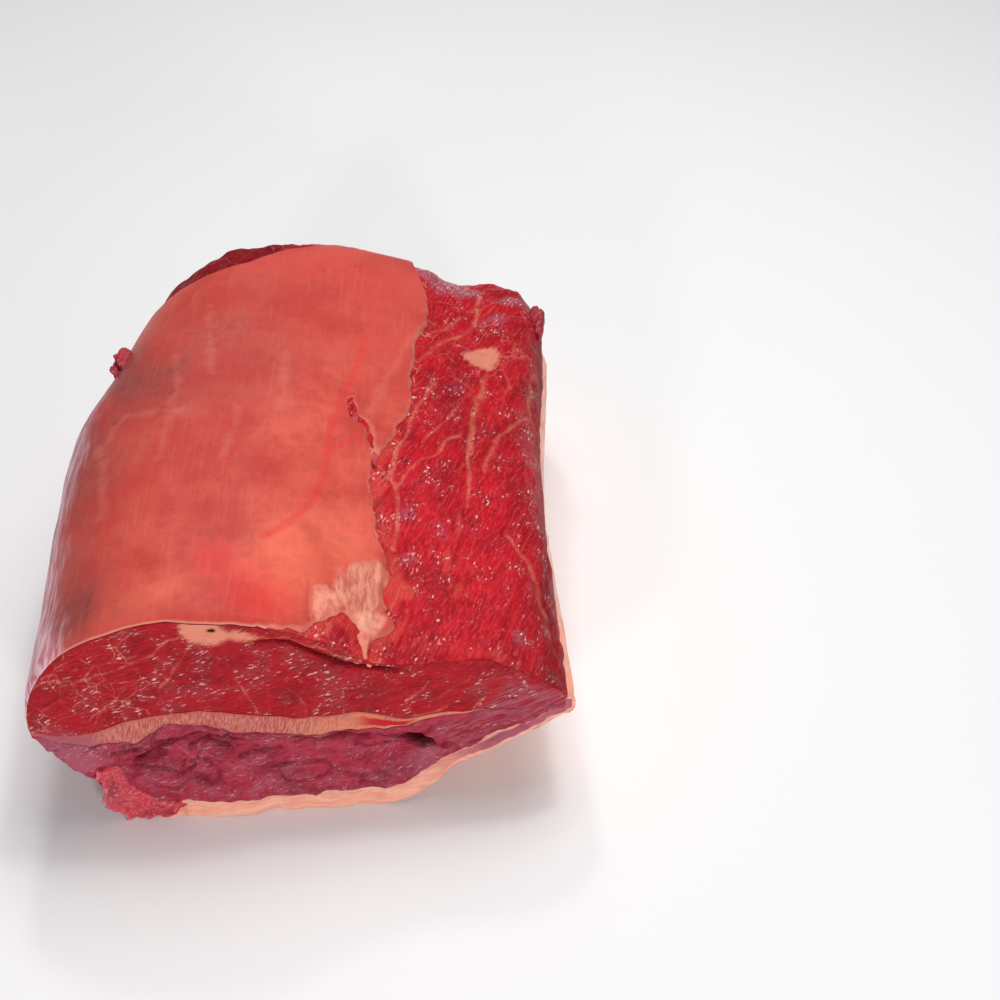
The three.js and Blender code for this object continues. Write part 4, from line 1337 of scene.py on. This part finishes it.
def muscle_material(name, flesh, deep, lit, marbled, colours, haze_strength, glinting):
    """Raw beef muscle, freshly cut and wet. Bundles of fibre about 1 mm wide give fine light and
    dark streaks, fat between them gives a broken pale web, and the juice gives clusters of glints
    in its film; glints are also painted into the colour, with painted shade beside them. Grey
    membrane and clusters of juice carry a painted sheen, the strip above the lip gets painted light,
    and painted shade darkens hollows and cracks. On the skin the bundles run back and to the right;
    on the cut they are seen end on, smeared by the knife into dashes about 3 mm long that rise to
    the right. The dashes are drawn coarser than real ones, to show."""
    material, add, spot = new_material(name)
    marks = (add("Attribute", output=2, attribute_name=key) for key in MUSCLE_MARKS)
    vein, fat, cut, wedge, webbed, sheen, flush, hollow = marks
    skin_turn = (0, 0, math.radians(-20))
    stretches = (
        (skin_turn, (1.1, 6, 1.1)),
        (skin_turn, (1.0, 2.2, 1.0)),
        ((0, math.radians(-22), 0), (3.1, 1.0, 0.8)),
        ((0, math.radians(-27), 0), (14, 3, 0.9)),
    )
    skin_grain, skin_glints, cut_grain, strand_grain = (
        add("Mapping", {"Vector": spot, "Rotation": turn, "Scale": scale}, **STRETCHED)
        for turn, scale in stretches
    )
    grain = add("Mix", (cut, skin_grain, cut_grain), data_type="VECTOR")
    fibres = add("TexNoise", (grain, 1, 4, 0.65))
    bundles = add("TexNoise", (grain, 0.32, 3, 0.6))
    glint_grain = add("Mix", (cut, skin_glints, cut_grain), data_type="VECTOR")
    glint_spots = add("TexNoise", (glint_grain, 1.1, 2, 0.5))
    clouds = add("TexNoise", (spot, 1 / 20, 3, 0.55))
    clusters = add("TexNoise", (spot, 1 / 9, 3, 0.6))

    light = add("MapRange", (clouds, 0.34, 0.56, 0.5, 1), **EASED)
    shade = add("Math", (cut, -0.35, 1), **TIMES_PLUS)
    light = add("Math", (light, shade), **TIMES)
    colour = add("Mix", (light, deep, flesh), **OF_COLOURS)
    dark_bundles = add("MapRange", (bundles, 0.5, 0.36, 0, 0.45), **EASED)
    dark_fibres = add("MapRange", (fibres, 0.46, 0.36, 0, 0.5), **EASED)
    pale = add("MapRange", (fibres, 0.5, 0.66, 0.1, 0.8), **EASED)
    milky = add("Math", (cut, -0.7, 0.9), **TIMES_PLUS)
    pale_share = add("Math", (pale, milky), **TIMES)
    # salmon flushes, and painted light on the strip above the lip
    flush = add("Math", (bundles, 1.3, flush), **TIMES_PLUS)
    flush = add("MapRange", (flush, 0.85, 1.5, 0, 0.45), **EASED)

    # painted sheen: grey over the clusters of juice, and on the membrane
    sheen_haze = add("MapRange", (clusters, 0.42, 0.68, 0, haze_strength), **EASED)
    membrane = add("Math", (clusters, 1.2, sheen), **TIMES_PLUS)
    membrane = add("MapRange", (membrane, 0.85, 1.6, 0, 0.65), **EASED)
    # the wedge's grey streaks stand partly for a painted sheen
    strands = add("TexNoise", (strand_grain, 1, 4, 0.65))
    grey = add("MapRange", (strands, 0.38, 0.64, 0, 1), **EASED)
    wedge_colour = add("Mix", (grey, colours["wedge_red"], colours["wedge_grey"]), **OF_COLOURS)

    wander = add("TexNoise", (spot, 1 / 5, 2, 0.5), output=1)
    bent = add("VectorMath", (wander, (3, 3, 3), spot), **TIMES_PLUS)
    cells = {"Vector": bent, "Rotation": skin_turn, "Scale": (10, 19, 9)}
    cells = add("Mapping", cells, **STRETCHED)
    cells = add("TexVoronoi", (cells, 1), feature="DISTANCE_TO_EDGE")
    web = add("MapRange", (cells, 0.032, 0, 0, 0.8), **EASED)
    web = add("Math", (web, webbed), **TIMES)
    unbroken = add("MapRange", (clusters, 0.4, 0.56, 0.1, 1), **EASED)
    web = add("Math", (web, unbroken), **TIMES)

    fray = add("Math", (fibres, 0.5), operation="SUBTRACT")
    vein = add("Math", (fray, 3.0, vein), **TIMES_PLUS)
    blur = add("Math", (cut, -0.7, 1.1), **TIMES_PLUS)
    vein = add("MapRange", (vein, blur, -0.6, 0, 0.65), **EASED)
    broken = add("MapRange", (clusters, 0.38, 0.54, 0.35, 1), **EASED)
    vein = add("Math", (vein, broken), **TIMES)

    wet = add("Math", (sheen, 0.12, clusters), **TIMES_PLUS)
    wet = add("Math", (cut, 0.05, wet), **TIMES_PLUS)
    wet = add("MapRange", (wet, 0.52, 0.61, 0.06 * glinting, glinting), **EASED)
    # painted shade beside the glints, then glints painted into the colour
    painted_pit_shade = add("MapRange", (glint_spots, 0.44, 0.34, 0, 0.85), **EASED)
    painted_pit_shade = add("Math", (painted_pit_shade, wet), **TIMES)
    bright = add("MapRange", (glint_spots, 0.625, 0.67, 0, 0.85), **EASED)
    bright = add("Math", (bright, wet), **TIMES)

    fat = add("Math", (fray, 5, fat), **TIMES_PLUS)
    fat = add("MapRange", (fat, -1.4, 1.8, 0, 0.95), **EASED)
    fat_colour = add("Mix", (pale, colours["nodule"], colours["fibrous"]), **OF_COLOURS)
    layers = (
        (dark_bundles, deep),
        (dark_fibres, deep),
        (pale_share, lit),
        (flush, colours["flush"]),
        # painted sheen, and membrane partly a painted sheen
        (sheen_haze, colours["veil"]),
        (membrane, colours["veil"]),
        (wedge, wedge_colour),
        (web, marbled),
        (vein, marbled),
        # painted shade beside the glints, and the painted glints
        (painted_pit_shade, deep),
        (bright, colours["fleck"]),
        (fat, fat_colour),
        # painted shade
        (hollow, colours["hollow"]),
    )
    for share, tint in layers:
        colour = add("Mix", (share, colour, tint), **OF_COLOURS)

    height = add("Math", (bundles, 1.3), **TIMES)
    height = add("Math", (fibres, 0.5, height), **TIMES_PLUS)
    film = add("Math", (glint_spots, wet), **TIMES)
    film = add("Math", (film, 2.0, height), **TIMES_PLUS)
    film_cover = add("MapRange", (wet, 0, 1, 0.2, 0.9))
    open_share = add("MapRange", (hollow, 0, 0.5, 1, 0.1))
    film_cover = add("Math", (film_cover, open_share), **TIMES)
    wet_finish(add, colour, height, film, film_cover, 0.1)
    return material


def gristle_material(name, colours):
    """Gristle cut across: upright fibres about 0.6 mm apart, greyish beige and pink in turn, drawn
    at their real width. Its left end fades into grey membrane, and its right end parts into two
    cords of fat with red muscle between them."""
    material, add, spot = new_material(name)
    level = add("Attribute", output=2, attribute_name="level")
    x = add("SeparateXYZ", (spot,))
    upright = {"Vector": spot, "Rotation": (0, math.radians(14), 0), "Scale": (0.55, 1.5, 4)}
    upright = add("TexNoise", (add("Mapping", upright, **STRETCHED), 1, 3, 0.6))
    clouds = add("TexNoise", (spot, 1 / 7, 3, 0.6))
    share = add("MapRange", (upright, 0.36, 0.64, 0, 1), **EASED)
    colour = add("Mix", (share, colours["gristle_pink"], colours["gristle"]), **OF_COLOURS)
    membrane = add("MapRange", (x, -70, -82, 0, 0.9), **EASED)
    fatty = add("MapRange", (x, -10, 24, 0, 1), **EASED)
    fatty = add("Math", (fatty, add("MapRange", (clouds, 0.3, 0.55, 0, 1))), **TIMES)
    from_middle = add("Math", (level, 0.5), operation="SUBTRACT")
    from_middle = add("Math", (from_middle,), operation="ABSOLUTE")
    from_middle = add("Math", (clouds, -0.5, from_middle), **TIMES_PLUS)
    core = add("MapRange", (from_middle, 0.08, -0.08, 0, 1), **EASED)
    parted = add("MapRange", (x, 16, 28, 0, 1), **EASED)
    joined = add("MapRange", (x, 46, 38, 0, 1), **EASED)
    core = add("Math", (core, parted), **TIMES)
    core = add("Math", (core, joined), **TIMES)
    rim = add("MapRange", (level, 0.84, 0.98, 0, 0.7), **EASED)
    layers = (
        (membrane, colours["wedge_grey"]),
        (fatty, colours["cord"]),
        (core, colours["bright_muscle"]),
        (rim, colours["cap_fat"]),
    )
    for share, tint in layers:
        colour = add("Mix", (share, colour, tint), **OF_COLOURS)
    height = add("Math", (upright, 0.6), **TIMES)
    wet_finish(add, colour, height, height, 0.6, 0.25)
    return material


def cap_material(name, colours):
    """A smooth sheet of fat and membrane, pulled and not cut: satin, mottled only faintly, blushed
    red or brownish where the muscle shows through, with fine pulled lines about 1.5 mm apart.
    Painted shade darkens it down its left side and in its slits, painted light makes it a lighter,
    warmer peach towards its front, and a painted sheen streaks the membrane down its left side."""
    material, add, spot = new_material(name)
    marks = (add("Attribute", output=2, attribute_name=key) for key in CAP_MARKS)
    cover, pale, peach, fan, silver, front, red_vein, lines, blush, brown, glow = marks
    clouds = add("TexNoise", (spot, 1 / 24, 5, 0.6))
    mottle = add("TexNoise", (spot, 1 / 5, 4, 0.6))
    pulled = add("Mapping", {"Vector": spot, "Scale": (1.6, 26, 4)}, **STRETCHED)
    pulled = add("TexNoise", (pulled, 1, 4, 0.6))

    share = add("MapRange", (clouds, 0.35, 0.68, 0, 1), **EASED)
    colour = add("Mix", (share, colours["cap_red"], colours["cap_fat"]), **OF_COLOURS)
    uneven = add("Math", (clouds, 0.5), operation="SUBTRACT")
    blush = add("Math", (uneven, 1.6, blush), **TIMES_PLUS)
    blush = add("MapRange", (blush, 0.1, 1.1, 0, 0.85), **EASED)
    blotches = add("Math", (mottle, 0.5), operation="SUBTRACT")
    # browner where marked, and painted shade down the left side and in the slits
    brown = add("Math", (blotches, 1.2, brown), **TIMES_PLUS)
    brown = add("Math", (uneven, 1.4, brown), **TIMES_PLUS)
    brown = add("MapRange", (brown, 0.0, 1.4, 0, 0.8), **EASED)
    # painted light: a lighter, warmer peach towards the front
    glow = add("Math", (uneven, 1.0, glow), **TIMES_PLUS)
    glow = add("MapRange", (glow, 0.1, 1.1, 0, 0.6), **EASED)
    light = add("MapRange", (pulled, 0.5, 0.75, 0, 0.05), **EASED)
    dim = add("MapRange", (mottle, 0.54, 0.34, 0, 0.14), **EASED)
    lines = add("Math", (blotches, 8, lines), **TIMES_PLUS)
    lines = add("MapRange", (lines, 2.8, -1.8, 0, 0.1), **EASED)
    red_vein = add("MapRange", (red_vein, 2.6, 0.2, 0, 0.45), **EASED)

    depth = add("SeparateXYZ", (spot,), output=1)
    fanned = add("CombineXYZ", (fan, add("Math", (depth, 1 / 9), **TIMES)))
    strands = add("TexNoise", (fanned, 1.2, 4, 0.65))
    share = add("MapRange", (strands, 0.36, 0.66, 0, 1), **EASED)
    fibrous = add("Mix", (share, colours["patch_grey"], colours["fibrous"]), **OF_COLOURS)
    peach_share = add("MapRange", (mottle, 0.35, 0.6, 0.2, 0.55), **EASED)
    peach = add("Math", (peach, peach_share), **TIMES)
    # painted sheen in streaks on the membrane down the left side
    streaks = add("MapRange", (pulled, 0.4, 0.58, 0.3, 1), **EASED)
    silver = add("Math", (silver, streaks), **TIMES)
    rim = add("MapRange", (cover, 1.6, 0.2, 0, 0.3), **EASED)
    front = add("Math", (front, 0.4), **TIMES)
    layers = (
        (blush, colours["cap_blush"]),
        (brown, colours["cap_brown"]),
        (glow, colours["cap_glow"]),
        (light, colours["soft_fat"]),
        (dim, colours["cap_brown"]),
        (lines, colours["soft_fat"]),
        (red_vein, colours["cap_blush"]),
        (pale, fibrous),
        (peach, colours["soft_fat"]),
        (silver, colours["silver"]),
        (rim, colours["soft_fat"]),
        (front, colours["soft_fat"]),
    )
    for share, tint in layers:
        colour = add("Mix", (share, colour, tint), **OF_COLOURS)

    fibre_height = add("Math", (strands, pale), **TIMES)
    height = add("Math", (pulled, 0.16), **TIMES)
    height = add("Math", (mottle, 0.25, height), **TIMES_PLUS)
    height = add("Math", (fibre_height, 0.7, height), **TIMES_PLUS)
    wet_finish(add, colour, height, height, 0.4, 0.35)
    return material


def fat_material(name, colours):
    """Soft beef fat trimmed with a knife: peach, in faint layers about 1.5 mm thick, with orange
    lines between them and a few pink smears."""
    material, add, spot = new_material(name)
    level = add("Attribute", output=2, attribute_name="level")
    slope = add("Attribute", output=2, attribute_name="slope")
    sheets = {"Vector": spot, "Rotation": (0, math.radians(-4), 0), "Scale": (16, 12, 1.5)}
    sheets = add("TexNoise", (add("Mapping", sheets, **STRETCHED), 1, 4, 0.6))
    clouds = add("TexNoise", (spot, 1 / 10, 4, 0.6))
    share = add("MapRange", (sheets, 0.4, 0.62, 0, 1), **EASED)
    colour = add("Mix", (share, colours["fat_pink"], colours["soft_fat"]), **OF_COLOURS)
    smear = add("MapRange", (clouds, 0.52, 0.72, 0, 0.6), **EASED)
    root = add("MapRange", (level, 0.2, 0.0, 0, 0.5), **EASED)
    muscle = add("Math", (clouds, 0.3, level), **TIMES_PLUS)
    muscle = add("MapRange", (muscle, 0.92, 0.8, 0, 1), **EASED)
    muscle = add("Math", (muscle, slope), **TIMES)
    layers = (
        (smear, colours["fat_pink"]),
        (root, colours["cap_red"]),
        (muscle, colours["wedge_grey"]),
    )
    for share, tint in layers:
        colour = add("Mix", (share, colour, tint), **OF_COLOURS)
    height = add("Math", (sheets, 0.5), **TIMES)
    height = add("Math", (clouds, 0.6, height), **TIMES_PLUS)
    wet_finish(add, colour, height, height, 0.7, 0.25)
    return material


def tabletop_material(name, colour):
    """A matt pale laminate, pressed smooth, a very little mottled."""
    material, add, spot = new_material(name)
    mottle = add("TexNoise", (spot, 1 / 60, 2, 0.5))
    mottle = add("MapRange", (mottle, 0.3, 0.7, 0, 0.03))
    shade = tuple(0.9 * channel for channel in colour)
    colour = add("Mix", (mottle, colour, shade), **OF_COLOURS)
    shader = add("BsdfPrincipled", {"Base Color": colour, "Roughness": 0.9})
    add("OutputMaterial", {"Surface": shader})
    return material


def colour_property(label, hex_colour):
    """A colour that the panel shows, with its default."""
    return bpy.props.FloatVectorProperty(
        name=label,
        description=f"Colour of the finish: {label.lower()}",
        subtype="COLOR",
        size=3,
        min=0,
        max=1,
        default=linear(hex_colour),
    )


class ClodColours(bpy.types.PropertyGroup):
    """Colours of the meat's finishes."""

    __annotations__ = {key: colour_property(*value) for key, value in COLOURS.items()}


def length_property(label, description, default, least=0.0):
    """A length that the panel shows in the scene's unit, from a default in millimetres."""
    return bpy.props.FloatProperty(
        name=label,
        description=description,
        unit="LENGTH",
        precision=5,
        default=default * MM,
        min=least * MM,
    )


class ClodSizes(bpy.types.PropertyGroup):
    """Sizes of the layers and of the surface."""

    mesh_step: length_property("Mesh step", "Width of a mesh cell on the surfaces that show", 0.68, 0.5)
    seam_thickness: length_property("Seam thickness", "Greatest thickness of the gristle seam", 10)
    cap_thickness: length_property("Cap thickness", "Thickness of the sheet of fat and membrane on top", 1.9)
    skin_roughness: bpy.props.FloatProperty(
        name="Skin roughness",
        description="How strongly lumps and fibre bundles stand out of the muscle's skin",
        subtype="FACTOR",
        default=1.0,
        min=0,
        max=2,
    )


class StageSettings(bpy.types.PropertyGroup):
    """The table, the lights and the camera."""

    camera_place: bpy.props.FloatVectorProperty(
        name="Camera",
        description="Where the camera stands",
        subtype="TRANSLATION",
        unit="LENGTH",
        default=(0.0755, -0.542, 0.544),
    )
    camera_tilt: bpy.props.FloatProperty(
        name="Camera tilt",
        description="How far the camera looks down",
        subtype="ANGLE",
        default=math.radians(42),
    )
    lens: bpy.props.FloatProperty(
        name="Lens",
        description="Focal length on a sensor 36 mm wide, in millimetres",
        default=61.2,
    )
    table_colour: bpy.props.FloatVectorProperty(
        name="Table",
        description="Colour of the table",
        subtype="COLOR",
        size=3,
        default=linear("#F6F6F6"),
    )
    surround: bpy.props.FloatProperty(
        name="Surround",
        description="Strength of the even white light from all round",
        default=0.2,
        min=0,
    )


def finishes():
    """The colours of the panel as plain tuples."""
    group = bpy.context.scene.clod_colours
    return {key: tuple(getattr(group, key)) for key in COLOURS}


def dress(skin, name, material, slot, *nodes):
    """Makes a skin's piece and ties it to the frame: it rides on the one body, and may stand for
    nodes."""
    piece = skin.build(name, material)
    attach(piece, "root")
    if nodes:
        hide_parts(*nodes)


class CLOD_OT_stage(bpy.types.Operator):
    """Makes the table, the soft lights and the camera"""

    bl_idname = "clod.stage"
    bl_label = "Stage"

    def execute(self, context):
        stage = context.scene.clod_stage
        half = TABLE_HALF_WIDTH
        low = FRAME_LOW.z
        table = bpy.data.meshes.new("table")
        corners = [(-half, -half, low), (half, -half, low), (half, half, low), (-half, half, low)]
        table.from_pydata(corners, [], [(0, 1, 2, 3)])
        table.materials.append(tabletop_material("matt_pale_laminate", stage.table_colour))
        top = bpy.data.objects.new("table", table)
        context.scene.collection.objects.link(top)

        world = bpy.data.worlds.new("studio")
        world.use_nodes = True
        world.node_tree.nodes["Background"].inputs["Color"].default_value = SKY_WHITE
        world.node_tree.nodes["Background"].inputs["Strength"].default_value = stage.surround
        context.scene.world = world
        context.scene.view_settings.view_transform = "Standard"

        aim = Vector(LIT_PLACE)
        for name, place_of_light, width, power in LAMPS:
            light = bpy.data.lights.new(name, "AREA")
            light.energy = power
            light.size = width
            lamp = bpy.data.objects.new(name, light)
            lamp.location = place_of_light
            lamp.visible_glossy = width < WIDEST_SEEN_LAMP
            lamp.rotation_euler = (aim - lamp.location).to_track_quat("-Z", "Y").to_euler()
            context.scene.collection.objects.link(lamp)

        camera = bpy.data.cameras.new("camera")
        camera.lens = stage.lens
        camera.sensor_width = 36
        eye = bpy.data.objects.new("camera", camera)
        eye.location = stage.camera_place
        eye.rotation_euler = (math.pi / 2 - stage.camera_tilt, 0, 0)
        context.scene.collection.objects.link(eye)
        context.scene.camera = eye
        return {"FINISHED"}


class CLOD_OT_upper_muscle(bpy.types.Operator):
    """Makes the bright muscle above the seam"""

    bl_idname = "clod.upper_muscle"
    bl_label = "Upper Muscle"

    def execute(self, context):
        c = finishes()
        reds = (c["bright_muscle"], c["bright_deep"], c["bright_lit"])
        material = muscle_material("wet_cut_bright_muscle", *reds, c["marbling"], c, 0.08, 1)
        skin = upper_muscle_skin(context.scene.clod_sizes)
        dress(skin, "upper_muscle_flesh", material, "bright_muscle", "upper_muscle")
        return {"FINISHED"}


class CLOD_OT_lower_muscle(bpy.types.Operator):
    """Makes the darker muscle below the seam"""

    bl_idname = "clod.lower_muscle"
    bl_label = "Lower Muscle"

    def execute(self, context):
        c = finishes()
        reds = (c["dark_muscle"], c["dark_deep"], c["dark_lit"])
        material = muscle_material("wet_cut_dark_muscle", *reds, c["dark_lit"], c, 0.35, 0.4)
        skin = lower_muscle_skin(context.scene.clod_sizes)
        dress(skin, "lower_muscle_flesh", material, "dark_muscle", "lower_muscle")
        return {"FINISHED"}


class CLOD_OT_gristle_seam(bpy.types.Operator):
    """Makes the band of gristle between the muscles"""

    bl_idname = "clod.gristle_seam"
    bl_label = "Gristle Seam"

    def execute(self, context):
        material = gristle_material("cut_fibrous_gristle", finishes())
        skin = gristle_seam_skin(context.scene.clod_sizes)
        dress(skin, "gristle_band", material, "gristle", "gristle_seam")
        return {"FINISHED"}


class CLOD_OT_fat_cap(bpy.types.Operator):
    """Makes the smooth sheet of fat and membrane on top"""

    bl_idname = "clod.fat_cap"
    bl_label = "Fat Cap"

    def execute(self, context):
        material = cap_material("pulled_fat_membrane", finishes())
        skin = fat_cap_skin(context.scene.clod_sizes)
        dress(skin, "fat_cap_sheet", material, "cap_fat", "fat_cap")
        return {"FINISHED"}


class CLOD_OT_bottom_fat(bpy.types.Operator):
    """Makes the fat under the piece and on its right side"""

    bl_idname = "clod.bottom_fat"
    bl_label = "Bottom Fat"

    def execute(self, context):
        material = fat_material("knife_trimmed_soft_fat", finishes())
        skin = bottom_fat_skin(context.scene.clod_sizes)
        dress(skin, "bottom_fat_layer", material, "soft_fat", "bottom_fat")
        return {"FINISHED"}


class CLOD_OT_loose_scraps(bpy.types.Operator):
    """Makes the ragged corner, the tag at the left side and the curls at the tear and the back"""

    bl_idname = "clod.loose_scraps"
    bl_label = "Loose Scraps"

    def execute(self, context):
        c = finishes()
        reds = (c["torn"], c["torn_deep"], c["torn_lit"])
        material = muscle_material("wet_torn_muscle", *reds, c["torn_lit"], c, 0.2, 0.7)
        for name, scraps, slot, shade in (
            ("ragged_corner", RAGGED_CORNER, "dark_muscle", 0),
            ("side_tag", SIDE_TAG, "bright_muscle", 0.35),
            ("tear_curls", TEAR_CURLS, "bright_muscle", 0.2),
            ("back_curls", BACK_CURLS, "bright_muscle", 0.4),
        ):
            skin = scraps_skin(scraps, shade)
            if name == "ragged_corner":
                torn_flap(skin)
            dress(skin, name, material, slot)
        return {"FINISHED"}


STEPS = (
    CLOD_OT_stage,
    CLOD_OT_upper_muscle,
    CLOD_OT_gristle_seam,
    CLOD_OT_lower_muscle,
    CLOD_OT_fat_cap,
    CLOD_OT_bottom_fat,
    CLOD_OT_loose_scraps,
)


class CLOD_PT_panel(bpy.types.Panel):
    """Lists the settings and the steps"""

    bl_idname = "CLOD_PT_panel"
    bl_label = "Raw Beef Shoulder Clod"
    bl_space_type = "VIEW_3D"
    bl_region_type = "UI"
    bl_category = "Clod"

    def draw(self, context):
        scene = context.scene
        for group in (scene.clod_sizes, scene.clod_colours, scene.clod_stage):
            box = self.layout.box()
            for name in group.__annotations__:
                box.prop(group, name)
        for step in STEPS:
            self.layout.operator(step.bl_idname)


CLASSES = (ClodColours, ClodSizes, StageSettings, *STEPS, CLOD_PT_panel)


def register():
    for part in CLASSES:
        bpy.utils.register_class(part)
    bpy.types.Scene.clod_colours = bpy.props.PointerProperty(type=ClodColours)
    bpy.types.Scene.clod_sizes = bpy.props.PointerProperty(type=ClodSizes)
    bpy.types.Scene.clod_stage = bpy.props.PointerProperty(type=StageSettings)


def unregister():
    del bpy.types.Scene.clod_stage
    del bpy.types.Scene.clod_sizes
    del bpy.types.Scene.clod_colours
    for part in reversed(CLASSES):
        bpy.utils.unregister_class(part)


def main():
    register()
    for step in STEPS:
        group, _, name = step.bl_idname.partition(".")
        getattr(getattr(bpy.ops, group), name)()


if __name__ == "__main__":
    main()
